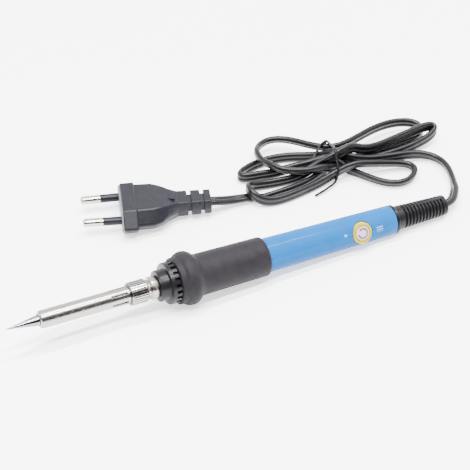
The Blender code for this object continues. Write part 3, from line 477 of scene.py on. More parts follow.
def begin(name: str) -> Piece:
    """Names the primitive just added and enters edit mode with all of it selected."""
    piece = bpy.context.view_layer.objects.active
    piece.name = piece.data.name = name
    bpy.ops.object.mode_set(mode="EDIT")
    bpy.ops.mesh.select_mode(type="VERT")
    bpy.ops.mesh.select_all(action="SELECT")
    return piece


def primitive(name: str, add: Callable[..., object], **settings: object) -> Piece:
    """Adds a primitive and opens it for editing.

    Args:
        name: The piece's name.
        add: The operator that adds it.
        settings: The operator's sizes and place.

    Returns:
        The piece, in edit mode.
    """
    bpy.ops.object.select_all(action="DESELECT")
    add(**settings)
    bpy.ops.object.transform_apply(location=True, rotation=True, scale=True)
    return begin(name)


def pick(piece: Piece, mode: str, wanted: Callable[[object], bool]) -> None:
    """Selects the vertices (mode VERT) or edges (mode EDGE) that pass a test, in edit mode."""
    bpy.ops.mesh.select_all(action="DESELECT")
    bpy.ops.mesh.select_mode(type=mode)
    mesh = bmesh.from_edit_mesh(piece.data)
    for element in mesh.verts if mode == "VERT" else mesh.edges:
        if wanted(element):
            element.select = True
    mesh.select_flush_mode()
    bmesh.update_edit_mesh(piece.data)


def close(piece: Piece, smooth: float) -> Piece:
    """Merges doubles, turns the faces outward, leaves edit mode and shades by angle."""
    bpy.ops.mesh.select_all(action="SELECT")
    bpy.ops.mesh.remove_doubles(threshold=1e-4)
    bpy.ops.mesh.normals_make_consistent(inside=False)
    bpy.ops.object.mode_set(mode="OBJECT")
    alone(piece)
    bpy.ops.object.shade_smooth_by_angle(angle=math.radians(smooth))
    return piece


def lathe(
    name: str, outer: Profile, bore: Profile = (), steps: int = 96, smooth: float = 32.0
) -> Piece:
    """Draws a ring along the outside from station to station, then back along the bore.

    Args:
        name: The piece's name.
        outer: Station and radius along the outside.
        bore: Station and radius back along the inside, none for a solid piece.
        steps: Segments round the piece.
        smooth: Angle in degrees above which an edge stays sharp.

    Returns:
        The piece, upright and in millimetres.
    """
    points = [*outer, *bore]
    start, first = points[0]
    piece = primitive(
        name, bpy.ops.mesh.primitive_circle_add, vertices=steps, radius=first,
        fill_type="NOTHING" if bore else "NGON", location=(0, 0, start),
    )
    for (low, radius), (high, wide) in zip(points, points[1:]):
        bpy.ops.mesh.extrude_region_move(TRANSFORM_OT_translate={"value": (0, 0, high - low)})
        share = wide / radius
        bpy.ops.transform.resize(value=(share, share, 1), center_override=(0, 0, high))
    if bore:
        pick(piece, "EDGE", lambda edge: edge.is_boundary)
        bpy.ops.mesh.bridge_edge_loops()
    return close(piece, smooth)


def block(name: str, size: Point, centre: Point, bevel: float) -> Piece:
    """Makes a box with rounded edges.

    Args:
        name: The piece's name.
        size: Length along each axis.
        centre: Where its middle goes.
        bevel: Width of the rounding.

    Returns:
        The box.
    """
    piece = primitive(
        name, bpy.ops.mesh.primitive_cube_add, size=1, location=centre, scale=size
    )
    bpy.ops.mesh.bevel(offset=bevel, segments=3)
    return close(piece, 40)


def rounded(piece: Piece, width: float, segments: int, angle: float) -> Piece:
    """Rounds the edges sharper than an angle given in degrees."""
    modifier = piece.modifiers.new("round", "BEVEL")
    modifier.width, modifier.segments = width, segments
    modifier.limit_method, modifier.angle_limit = "ANGLE", math.radians(angle)
    modifier.use_clamp_overlap = True
    alone(piece)
    bpy.ops.object.modifier_apply(modifier="round")
    bpy.ops.object.shade_smooth_by_angle(angle=math.radians(32))
    return piece


def cut(piece: Piece, cutter: Piece) -> Piece:
    """Takes a cutter's shape out of a piece."""
    modifier = piece.modifiers.new("cut", "BOOLEAN")
    modifier.operation, modifier.solver, modifier.object = "DIFFERENCE", "EXACT", cutter
    modifier.use_self = True
    alone(piece)
    bpy.ops.object.modifier_apply(modifier="cut")
    bpy.data.objects.remove(cutter)
    bpy.ops.object.shade_smooth_by_angle(angle=math.radians(30))
    return piece


def joined(pieces: Sequence[Piece]) -> Piece:
    """Joins several pieces into the first."""
    alone(pieces[0])
    for piece in pieces:
        piece.select_set(True)
    if len(pieces) > 1:
        bpy.ops.object.join()
    return pieces[0]


def ring_of(piece: Piece, count: int, first: float = 0.0) -> Piece:
    """Repeats a piece round the upright axis, each copy with its own mesh.

    Args:
        piece: The piece, at angle 0.
        count: How many there are in all.
        first: Angle of the first one, in radians.

    Returns:
        All copies joined.
    """
    made = []
    for index in range(count):
        copy = piece.copy()
        copy.data = piece.data.copy()
        bpy.context.scene.collection.objects.link(copy)
        copy.data.transform(Matrix.Rotation(first + 2 * math.pi * index / count, 4, "Z"))
        made.append(copy)
    name = piece.name
    bpy.data.objects.remove(piece)
    whole = joined(made)
    whole.name = name
    return whole


@dataclass
class Placed:
    """Where a sub-assembly stands and which body it rides on."""

    body: Body
    axis: Matrix

    def put(self, piece: Piece, finish: Finish, slot: str, *nodes: str) -> Piece:
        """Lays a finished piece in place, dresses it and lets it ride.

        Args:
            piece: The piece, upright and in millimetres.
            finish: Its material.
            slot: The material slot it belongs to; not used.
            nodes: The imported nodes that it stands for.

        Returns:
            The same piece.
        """
        piece.data.transform(self.axis @ Matrix.Scale(MM, 4))
        return dress(piece, self.body, finish, slot, *nodes)


def dress(piece: Piece, body: Body, finish: Finish, slot: str, *nodes: str) -> Piece:
    """Gives a placed piece its material and body, and hides the nodes that it stands for."""
    if not piece.data.polygons:
        raise RuntimeError(f"{piece.name} has no faces")
    piece.data.materials.clear()
    piece.data.materials.append(finish)
    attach(piece, body.value)
    if nodes:
        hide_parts(*nodes)
    LOG.info("%s: %d faces, rides on %s", piece.name, len(piece.data.polygons), body.value)
    return piece


# ---------------------------------------------------------------- routes in space
def smooth_route(points: Sequence[Point], spacing: float) -> np.ndarray:
    """A smooth line through points, as places at an even spacing.

    Args:
        points: Places to pass through.
        spacing: Distance between the places returned.

    Returns:
        An array of places, one row each.
    """
    given = np.array(points, float)
    padded = np.vstack([2 * given[0] - given[1], given, 2 * given[-1] - given[-2]])
    dense = []
    shares = np.linspace(0, 1, 24, endpoint=False)[:, None]
    for before, start, stop, after in zip(padded, padded[1:], padded[2:], padded[3:]):
        knots = np.cumsum(
            [0, *(max(np.linalg.norm(b - a), 1e-6) ** 0.5 for a, b in
                  ((before, start), (start, stop), (stop, after)))]
        )
        time = knots[1] + (knots[2] - knots[1]) * shares
        ends = [before, start, stop, after]
        first = [
            ((knots[i + 1] - time) * ends[i] + (time - knots[i]) * ends[i + 1])
            / (knots[i + 1] - knots[i])
            for i in range(3)
        ]
        second = [
            ((knots[i + 2] - time) * first[i] + (time - knots[i]) * first[i + 1])
            / (knots[i + 2] - knots[i])
            for i in range(2)
        ]
        dense.append(
            ((knots[2] - time) * second[0] + (time - knots[1]) * second[1])
            / (knots[2] - knots[1])
        )
    return evened(np.vstack([*dense, given[-1:]]), spacing)


def evened(line: np.ndarray, spacing: float) -> np.ndarray:
    """Places at an even spacing along a line."""
    run = np.concatenate([[0], np.cumsum(np.linalg.norm(np.diff(line, axis=0), axis=1))])
    count = max(4, round(run[-1] / spacing))
    at = np.linspace(0, run[-1], count + 1)
    return np.column_stack([np.interp(at, run, line[:, axis]) for axis in range(3)])


def blurred(values: np.ndarray, reach: int) -> np.ndarray:
    """Rows averaged with their neighbours, the ends repeated."""
    weights = np.hanning(2 * reach + 3)[1:-1]
    weights /= weights.sum()
    padded = np.pad(values, ((reach, reach), (0, 0)), mode="edge")
    return np.column_stack(
        [np.convolve(padded[:, axis], weights, mode="valid") for axis in range(values.shape[1])]
    )


def unit(vectors: np.ndarray) -> np.ndarray:
    """Rows scaled to length 1."""
    return vectors / np.maximum(np.linalg.norm(vectors, axis=1), 1e-9)[:, None]


def swept(name: str, line: np.ndarray, across: np.ndarray, section: np.ndarray) -> Piece:
    """Sweeps a closed section along a line.

    Args:
        name: The piece's name.
        line: Places along it, in millimetres.
        across: Direction of the section's first axis at each place.
        section: Outline of the section, two columns in millimetres.

    Returns:
        The tube in metres, with a map in millimetres along and round it.
    """
    along = unit(np.gradient(line, axis=0))
    wide = unit(across - (across * along).sum(1)[:, None] * along)
    thick = np.cross(along, wide)
    steps = len(section)
    rings = (
        line[:, None, :]
        + section[None, :, :1] * wide[:, None, :]
        + section[None, :, 1:] * thick[:, None, :]
    )
    count = len(line)
    faces = [
        (
            ring * steps + step,
            ring * steps + (step + 1) % steps,
            (ring + 1) * steps + (step + 1) % steps,
            (ring + 1) * steps + step,
        )
        for ring in range(count - 1)
        for step in range(steps)
    ]
    faces.append(tuple(reversed(range(steps))))
    faces.append(tuple(range((count - 1) * steps, count * steps)))
    mesh = bpy.data.meshes.new(name)
    mesh.from_pydata((rings.reshape(-1, 3) * MM).tolist(), [], faces)
    edges = np.linalg.norm(np.diff(section, axis=0, append=section[:1]), axis=1)
    round_it = np.concatenate([[0], np.cumsum(edges)])
    run = np.concatenate([[0], np.cumsum(np.linalg.norm(np.diff(line, axis=0), axis=1))])
    layer = mesh.uv_layers.new(name="run")
    for face in mesh.polygons:
        if len(face.vertices) != 4:
            continue
        ring, step = divmod(face.index, steps)
        corners = ((ring, step), (ring, step + 1), (ring + 1, step + 1), (ring + 1, step))
        for loop, (at, turn) in zip(face.loop_indices, corners):
            layer.data[loop].uv = (run[at], round_it[turn])
    piece = bpy.data.objects.new(name, mesh)
    bpy.context.scene.collection.objects.link(piece)
    alone(piece)
    begin(name)
    bpy.ops.mesh.normals_make_consistent(inside=False)
    bpy.ops.object.mode_set(mode="OBJECT")
    bpy.ops.object.shade_smooth_by_angle(angle=math.radians(60))
    return piece


def disc_section(radius: float, steps: int) -> np.ndarray:
    """Outline of a round section."""
    turn = np.linspace(0, 2 * math.pi, steps, endpoint=False)
    return np.column_stack([np.cos(turn), np.sin(turn)]) * radius


# ---------------------------------------------------------------- the studio
@dataclass(frozen=True)
class Studio:
    """Camera, pale floor, bright room with a dark end behind the camera, and two strip lights."""

    azimuth: float = -27.3
    elevation: float = 38.5
    distance: float = 0.76498
    target: Point = (0.01460, 0.03097, 0.0003)
    lens: float = 123.8
    floor_colour: Colour = rgb(0.90, 0.90, 0.91)
    floor_glow: float = 1.2
    room: float = 3.4
    darkness: float = 0.965
    strips: tuple[tuple[str, float], ...] = (("strip_front", 69.0), ("strip_top", 93.0))
    strip_power: float = 80.0
    strip_size: tuple[float, float] = (1.8, 0.08)
    strip_distance: float = 1.6

    def back(self, elevation: float) -> Vector:
        """Direction from the object towards the camera's side, at an elevation in degrees."""
        side, rise = math.radians(self.azimuth), math.radians(elevation)
        level = math.cos(rise)
        return Vector((math.sin(side) * level, -math.cos(side) * level, math.sin(rise)))

    def camera(self) -> None:
        """Sets up the camera."""
        data = bpy.data.cameras.new("camera")
        data.lens, data.sensor_width = self.lens, 36.0
        camera = bpy.data.objects.new("camera", data)
        bpy.context.scene.collection.objects.link(camera)
        back = self.back(self.elevation)
        camera.rotation_mode = "QUATERNION"
        camera.location = Vector(self.target) + back * self.distance
        camera.rotation_quaternion = (-back).to_track_quat("-Z", "Y")
        bpy.context.scene.camera = camera

    def floor(self) -> None:
        """Lays a pale table, faintly mottled."""
        bpy.ops.object.select_all(action="DESELECT")
        bpy.ops.mesh.primitive_plane_add(size=6.0, location=(0, 0, 0))
        floor = bpy.context.view_layer.objects.active
        floor.name = "table"
        finish = bpy.data.materials.new("table")
        graph = Graph(finish)
        cloud = graph.noise(graph.place(), 0.01, 3.0)
        dim = tinted(self.floor_colour, 0.985)
        colour = graph.mix(cloud.ramp(0.3, 0.7), dim, self.floor_colour)
        graph.set(Base_Color=colour, Roughness=0.85, Specular_IOR_Level=0.1)
        graph.set(Emission_Color=rgb(1.0, 0.995, 1.0), Emission_Strength=self.floor_glow)
        floor.data.materials.append(finish)

    def world(self) -> None:
        """Lights the room from all round except low behind the camera."""
        world = bpy.data.worlds.new("room")
        bpy.context.scene.world = world
        graph = Graph(world, "Background")
        direction = graph.node("ShaderNodeTexCoord", {}, {}, output=0)
        _, _, rise = graph.parts(direction)
        front = self.back(0.0)
        settings = {"operation": "DOT_PRODUCT"}
        facing = graph.node("ShaderNodeVectorMath", settings, {0: direction, 1: front}, output=1)
        level = (1.0 - rise * rise).most(0.0001).power(0.5)
        cosine = facing / level
        dark = cosine.ramp(0.05, 0.55) * rise.ramp(0.72, 0.86, 1.0, 0.0)
        strength = (1.0 - dark * self.darkness) * self.room
        graph.set(Color=rgb(0.96, 0.97, 1.0), Strength=strength)

    def strip(self, name: str, elevation: float) -> None:
        """Hangs one strip light that faces the object, its length level and along X.

        Args:
            name: The light's name.
            elevation: Height above the table, in degrees.
        """
        data = bpy.data.lights.new(name, "AREA")
        data.shape, data.energy = "RECTANGLE", self.strip_power
        data.size, data.size_y = self.strip_size
        light = bpy.data.objects.new(name, data)
        bpy.context.scene.collection.objects.link(light)
        back = self.back(elevation)
        light.location = back * self.strip_distance
        light.rotation_mode = "QUATERNION"
        side = Vector((1.0, 0.0, 0.0))
        side = (side - side.dot(back) * back).normalized()
        turned = Matrix((side, back.cross(side), back)).transposed()
        light.rotation_quaternion = turned.to_quaternion()

    def build(self) -> None:
        """Sets the whole stage."""
        self.camera()
        self.floor()
        self.world()
        for name, elevation in self.strips:
            self.strip(name, elevation)


# ---------------------------------------------------------------- the cord
FRONTWARD = (-0.459, -0.889)


def leaning(rise: float) -> np.ndarray:
    """Direction of a ribbon's width: at an angle above the table, towards the front."""
    angle = math.radians(rise)
    level = math.cos(angle)
    return np.array([FRONTWARD[0] * level, FRONTWARD[1] * level, math.sin(angle)])


@dataclass
class MainsCord:
    """Flat twin cord from the handle, folded into a hank of six loops, to the plug."""

    core: float = 1.4
    half: float = 1.35
    groove: float = 0.42
    spacing: float = 1.8
    clearance: float = 2.95
    rounds: int = 220
    neighbours: int = 7
    fixed_ends: int = 14
    easing: int = 12
    hover: float = 0.08
    sinking: float = 0.02
    memory: float = 0.012
    stiffness: float = 0.35
    upward: float = 1.25
    give: float = 0.9
    lift: float = 0.7
    pace: float = 1.2
    exit: Point = (111.09, 0.0, 5.53)

    # Each stretch is the rise of the ribbon's width in degrees, then the places it passes.
    @staticmethod
    def stretches() -> list[tuple[float, list[Point]]]:
        """The places of the cord, from the handle to the plug."""
        return [
            (20, [(102.1, 0, 5.98), (106.6, 0, 5.75), (111.09, 0, 5.53), (116.4, 1.7, 5.2),
                  (120.6, 5.6, 4.6), (124.8, 11, 3.9), (128.6, 17, 3.4), (131.6, 23.2, 3.2)]),
            (50, [(133.8, 29, 3.2), (135.0, 35, 3.4), (132.6, 40.5, 5)]),
            (84, [(126, 43.4, 6), (118, 44.8, 6.5), (108, 46, 6.5), (98, 48, 6.4),
                  (90, 51.5, 6), (83, 58, 6)]),
            (88, [(74, 67.0, 5), (66, 72.5, 4.8), (57, 75.3, 4.4), (47, 74.5, 4.2),
                  (40, 72.5, 4.2), (34, 70.3, 4.8), (30.6, 67.2, 5.6), (33, 64.0, 5.6),
                  (42, 63.8, 6), (52, 62.8, 6.4), (63, 60, 7), (74, 56, 7), (83, 52, 6)]),
            (54, [(89, 46.5, 3.6), (92.5, 38, 3.3), (97, 29.5, 3.4), (102.5, 25, 3.3),
                  (109, 25, 3.3), (116, 29.5, 3.4), (121, 35, 4), (120, 39.5, 5),
                  (113, 41, 5.5), (104, 42, 7), (97, 43.6, 8.8), (91, 45.8, 9.4),
                  (85, 48, 8)]),
            (84, [(78, 48, 5.6), (71, 46.2, 4), (64, 44.5, 3.4), (54, 42.5, 3.4), (44, 41.5, 3.4),
                  (35.5, 42.5, 3.8), (29.6, 47.0, 5.6), (28.3, 53, 7.2), (31.5, 58.0, 6.4),
                  (39, 58.6, 4.6), (50, 55.4, 4), (64, 52.8, 4.6), (75, 53.0, 6), (84, 54, 8)]),
            (88, [(92, 52, 8.8), (105, 52.3, 9), (118, 54, 9.6), (130, 55.6, 10.6),
                  (140, 57.0, 11.4), (145.5, 56.0, 11), (145, 52.8, 9), (136, 50, 7),
                  (121, 49, 5.5), (104, 50, 5), (92, 52, 4.5), (83, 54, 4.4)]),
            (54, [(75, 53, 8.8), (68, 50.5, 8.6), (60, 51.5, 8.5), (54, 55.5, 8.2),
                  (49, 61.5, 8), (47, 69, 7.6), (48.5, 78, 7.4), (54, 85, 8), (62, 87.5, 8.4),
                  (69, 82.5, 9), (75, 71.5, 9.6), (80.5, 62.4, 10), (86.5, 59.4, 10.2)]),
            (76, [(95, 61.5, 9.8), (104, 65.4, 9.4), (117, 69.4, 9), (129, 70, 8),
                  (137, 67.6, 7.4), (141.6, 63, 6.8), (140, 58, 5), (132, 55, 3.6),
                  (120, 53.4, 3), (104, 54, 3), (92, 55.6, 3), (83, 55.6, 3)]),
            (60, [(74, 51.6, 3), (64, 48.5, 3), (52, 47.3, 3), (42, 48.3, 3)]),
            (2, [(35, 50.3, 3), (29, 51.6, 3.2), (23, 52.0, 4), (18.5, 51.9, 5.2),
                  (15.5, 51.8, 6.2), (12.78, 52.26, 6.7), (7.1, 54.3, 6.85)]),
        ]

    def laid(self) -> tuple[np.ndarray, np.ndarray]:
        """Joins the stretches into one even line, with the width direction at each place."""
        places: list[Point] = []
        widths: list[np.ndarray] = []
        for rise, run in self.stretches():
            places += run
            widths += [leaning(rise)] * len(run)
        line = smooth_route(places, self.spacing)
        given = np.array(places, float)
        nearest, at = [], 0
        for place in given:
            reach = line[at:at + 60]
            at += int(np.argmin(np.linalg.norm(reach - place, axis=1)))
            nearest.append(at)
        across = np.column_stack(
            [np.interp(np.arange(len(line)), nearest, np.array(widths)[:, i]) for i in range(3)]
        )
        return line, unit(blurred(across, 9))

    def settle(self, line: np.ndarray, across: np.ndarray) -> np.ndarray:
        """Moves strands apart that would pass through each other, and lifts them off the table.

        Args:
            line: Places along the cord.
            across: The ribbon's width direction at each place.

        Returns:
            The places after it has settled.
        """
        start, count = line, len(line)
        index = np.concatenate([np.arange(count)] * 2)
        near = np.abs(index[:, None] - index[None, :]) < self.neighbours
        rows = np.arange(count)
        inward = np.minimum(rows, count - 1 - rows) - self.fixed_ends
        held = np.minimum(1.0, inward / self.easing).clip(0.0)[:, None]
        for _ in range(self.rounds):
            along = unit(np.gradient(line, axis=0))
            wide = unit(across - (across * along).sum(1)[:, None] * along)
            sides = (line + self.half * wide, line - self.half * wide)
            cores = np.vstack(sides)
            gap = cores[:, None, :] - cores[None, :, :]
            far = np.sqrt((gap**2).sum(2)) + np.eye(2 * count) * 99
            short = np.where(near, 0.0, np.maximum(0.0, self.clearance - far))
            gap[:, :, 2] *= self.upward
            push = (gap * (short / far)[:, :, None]).sum(1)
            push = push / np.maximum(1, (short > 0).sum(1))[:, None] * self.give
            both = push[:count] + push[count:]
            for side in sides:
                both[:, 2] += np.maximum(0, self.core + self.hover - side[:, 2]) * self.lift
            both[:, 2] -= np.where(short.sum(1)[:count] > 0, 0.0, self.sinking)
            move = blurred(both, 3) * self.pace + (start - line) * self.memory
            line = line + move * held
            line = line + (blurred(line, 2) - line) * self.stiffness * held
        LOG.info("closest strands: %.2f mm short", short.max())
        return np.column_stack([line[:, :2], np.maximum(line[:, 2], self.core + 0.05)])

    def section(self) -> np.ndarray:
        """Outline of the twin cord: two round cores with a groove between them."""
        turn = np.radians(np.linspace(-90, 90, 9))
        side = np.column_stack([np.cos(turn) * self.core + self.half, np.sin(turn) * self.core])
        across = np.linspace(self.half, -self.half, 9)[1:-1]
        dip = self.core - self.groove * np.cos(math.pi * across / (2 * self.half)) ** 6
        top = np.column_stack([across, dip])
        return np.vstack([side, top, -side, -top])

    def build(self, finish: Finish) -> tuple[Piece, np.ndarray]:
        """Builds the cord and returns it with the line that it follows, in millimetres."""
        line, across = self.laid()
        line = self.settle(line, across)
        piece = swept("mains_cord", line, across, self.section())
        dress(
            piece, Body.HANDLE, finish, "cord_pvc",
            "mains_cord_handle_end", "cord_hank", "mains_cord_plug_end",
        )
        return piece, line


# ---------------------------------------------------------------- the iron
@dataclass
class Bit(Placed):
    """The pointed bit: a cone drawn to a small bead, a neck, and a shank inside the barrel."""

    point: float = 0.34
    cone_end: float = 13.7
    cone: float = 2.35
    shank: float = 3.2
    end: float = 46.0

    def build(self, finish: Finish) -> None:
        """Turns the bit."""
        outer = [
            (0.02, 0.10), (0.10, 0.24), (0.30, self.point), (0.62, 0.36), (0.90, 0.34),
            (1.6, 0.42), (4.0, 0.78), (8.0, 1.44), (self.cone_end - 0.4, self.cone - 0.06),
            (self.cone_end, self.cone), (15.4, self.cone), (15.5, self.shank),
            (self.end, self.shank),
        ]
        piece = lathe("soldering_tip_look", outer, steps=72, smooth=24)
        self.put(piece, finish, "tip_plating", "soldering_tip")


@dataclass
class Barrel(Placed):
    """The steel tube over the heater, rolled in at its mouth, with six slots near its flange."""

    front: float = 14.7
    back: float = 58.55
    radius: float = 4.05
    wall: float = 0.5
    mouth: float = 2.65
    rolled: float = 1.3
    flange: float = 4.6
    flange_front: float = 57.75
    slot_length: float = 8.0
    slot_width: float = 1.2
    slot_centre: float = 51.7
    slots: int = 6
    first_slot: float = math.radians(99)

    def build(self, finish: Finish) -> None:
        """Turns the tube and cuts its slots."""
        inner = self.radius - self.wall
        roll = [
            (self.front + self.rolled * (1 - math.sin(angle)),
             self.radius - self.rolled * (1 - math.cos(angle)))
            for angle in np.radians(np.linspace(90, 0, 9))
        ]
        outer = [
            (self.front + 0.25, self.mouth), (self.front + 0.05, self.mouth + 0.06), *roll,
            (self.flange_front - 0.15, self.radius), (self.flange_front, self.radius + 0.12),
            (self.flange_front + 0.02, self.flange - 0.1), (self.flange_front + 0.12, self.flange),
            (self.back, self.flange),
        ]
        bore = [
            (self.back, inner), (self.front + 1.6, inner), (self.front + 0.75, self.mouth + 0.1),
        ]
        tube = lathe("barrel_tube_look", outer, bore, steps=120)
        half = (self.slot_length - self.slot_width) / 2
        tool = primitive(
            "slot_tool", bpy.ops.mesh.primitive_cylinder_add, vertices=32,
            radius=self.slot_width / 2, depth=4,
            location=(self.radius, 0, self.slot_centre), rotation=(0, math.pi / 2, 0),
        )
        middle = self.slot_centre + 1e-4
        for side, wanted in ((1, lambda v: v.co.z > middle), (-1, lambda v: v.co.z <= middle)):
            pick(tool, "VERT", wanted)
            bpy.ops.transform.translate(value=(0, 0, side * half))
        close(tool, 30)
        tools = ring_of(tool, self.slots, self.first_slot)
        self.put(cut(tube, tools), finish, "stainless", "barrel_tube")


@dataclass
class KnurledNut(Placed):
    """The ribbed ring nut that holds the barrel."""

    front: float = 56.6
    back: float = 65.1
    radius: float = 5.3
    ribs: int = 30
    depth: float = 0.42
    flats_per_rib: int = 8
    groove_flats: tuple[int, ...] = (0, 1, 2)
    chamfer: float = 0.5
    lip: float = 4.2
    lip_back: float = 57.6
    bore: float = 4.75

    def build(self, finish: Finish) -> None:
        """Turns the ring and presses the grooves between its ribs inward."""
        outer = [
            (self.front, self.lip), (self.front, self.radius - self.chamfer - 0.25),
            (self.front + 0.12, self.radius - self.chamfer),
            (self.front + self.chamfer + 0.35, self.radius - 0.05),
            (self.front + self.chamfer + 0.5, self.radius), (self.back - 0.4, self.radius),
            (self.back, self.radius - 0.35),
        ]
        bore = [(self.back, self.bore), (self.lip_back, self.bore), (self.lip_back, self.lip)]
        flats = self.flats_per_rib
        ring = lathe("knurled_nut_look", outer, bore, steps=flats * self.ribs, smooth=30)
        begin(ring.name)

        def in_groove(vertex: bmesh.types.BMVert) -> bool:
            """Whether a vertex lies on the outside, on one of the flats that form a groove."""
            around = math.atan2(vertex.co.y, vertex.co.x) / (2 * math.pi)
            outside = vertex.co.xy.length > self.radius - 0.02
            return outside and round(around * flats * self.ribs) % flats in self.groove_flats

        pick(ring, "VERT", in_groove)
        share = 1 - self.depth / self.radius
        bpy.ops.transform.resize(value=(share, share, 1), center_override=(0, 0, 0))
        close(ring, 24)
        self.put(ring, finish, "nickel", "knurled_nut")


@dataclass
class ThreadedCollar(Placed):
    """The plated collar: a thread under the nut, a waist, and a flange against the nose."""

    front: float = 58.7
    thread: float = 4.55
    pitch: float = 1.0
    thread_end: float = 64.6
    end: float = 76.6
    bore: float = 2.6

    def build(self, finish: Finish) -> None:
        """Turns the collar with a grooved thread."""
        outer = [(self.front, self.thread - 0.3)]
        station = self.front
        while station < self.thread_end:
            outer += [(station + 0.1, self.thread), (station + 0.45, self.thread),
                      (station + 0.7, self.thread - 0.35), (station + 0.85, self.thread - 0.35)]
            station += self.pitch
        outer += [(65.2, 4.25), (65.5, 4.1), (66.6, 4.1), (66.8, 4.3), (66.82, 5.05),
                  (67.05, 5.25), (70.0, 5.25), (70.3, 5.1), (70.32, 3.6), (self.end, 3.6)]
        bore = [(self.end, self.bore), (self.front, self.bore)]
        self.put(lathe("threaded_collar_look", outer, bore), finish, "nickel", "threaded_collar")


@dataclass
class NoseCap(Placed):
    """The black nose: a step, a rim and twenty air vents open to the back."""

    vents: int = 20
    vent_width: float = 1.45
    vent_depth: float = 1.5
    vent_front: float = 76.5
    face: float = 79.0
    rim: float = 9.6

    def build(self, finish: Finish) -> None:
        """Turns the nose and cuts its vents."""
        outer = [
            (70.6, 3.95), (70.6, 6.75), (70.72, 7.0), (71.0, 7.15), (74.4, 7.15), (74.7, 7.28),
            (74.8, 7.6), (74.82, 9.2), (74.9, 9.45), (75.2, self.rim), (78.9, self.rim),
            (self.face, 9.5), (self.face, 6.8), (89.0, 6.8),
        ]
        bore = [(89.0, 5.6), (77.0, 5.6), (76.9, 3.95)]
        cap = lathe("nose_cap_look", outer, bore, steps=160, smooth=28)
        size = (2 * self.vent_depth, self.vent_width, 2 * (self.face - self.vent_front))
        tool = block("vent_tool", size, (self.rim, 0, self.face), 0.25)
        tools = ring_of(tool, self.vents, math.pi / self.vents)
        self.put(cut(cap, tools), finish, "black_nylon", "nose_cap")


@dataclass
class GripSleeve(Placed):
    """The soft sleeve: a rim, a bulb, a crease behind it and a long taper."""

    bore: float = 8.4

    def build(self, finish: Finish) -> None:
        """Turns the sleeve from points of its outline."""
        bulb = [(81.9, 10.95), (82.3, 11.5), (83.2, 12.05), (84.4, 12.35), (85.7, 12.4),
                (86.8, 12.2), (87.8, 11.7), (88.7, 11.0), (89.5, 10.2), (90.1, 9.78),
                (90.9, 9.62)]
        outer = [(79.3, 10.4), (79.45, 10.65), (79.8, 10.75), (81.4, 10.75), *bulb,
                 (94.0, 9.58), (100.0, 9.5), (112.0, 9.33), (123.2, 9.2), (123.6, 9.14),
                 (123.95, 8.95), (124.1, 8.7)]
        bore = [(124.1, self.bore), (79.3, self.bore)]
        piece = lathe("grip_sleeve_look", outer, bore, steps=128, smooth=50)
        self.put(piece, finish, "grip_silicone", "grip_sleeve")


@dataclass
class HandleShell(Placed):
    """The lacquered tube, with a round window for the dial."""

    front: float = 79.3
    back: float = 192.3
    radius: float = 8.1
    back_radius: float = 7.05
    taper_from: float = 119.1
    wall: float = 1.0
    window: float = 5.4

    def build(self, finish: Finish) -> None:
        """Turns the tube and cuts the window."""
        length, narrowing = self.back - self.taper_from, self.back_radius - self.radius
        outer = [(self.front, self.radius), (self.taper_from, self.radius)]
        for share in np.linspace(0.1, 0.9, 9):
            outer.append((self.taper_from + share * length, self.radius + share * narrowing))
        outer += [(self.back - 0.35, self.back_radius), (self.back - 0.1, self.back_radius - 0.1),
                  (self.back, self.back_radius - 0.3)]
        bore = [(self.back, self.back_radius - self.wall),
                (self.taper_from, self.radius - self.wall), (self.front, self.radius - self.wall)]
        tube = lathe("handle_shell_look", outer, bore, steps=160, smooth=30)
        tool = primitive(
            "window_tool", bpy.ops.mesh.primitive_cylinder_add, vertices=96,
            radius=self.window, depth=8, location=(0, 0, 7.5),
        )
        close(tool, 30)
        scale = Matrix.Scale(MM, 4)
        tool.data.transform(scale.inverted() @ self.axis.inverted() @ DIAL_AXIS @ scale)
        shell = rounded(cut(tube, tool), 0.12, 2, 50)
        self.put(shell, finish, "blue_shell", "handle_shell")


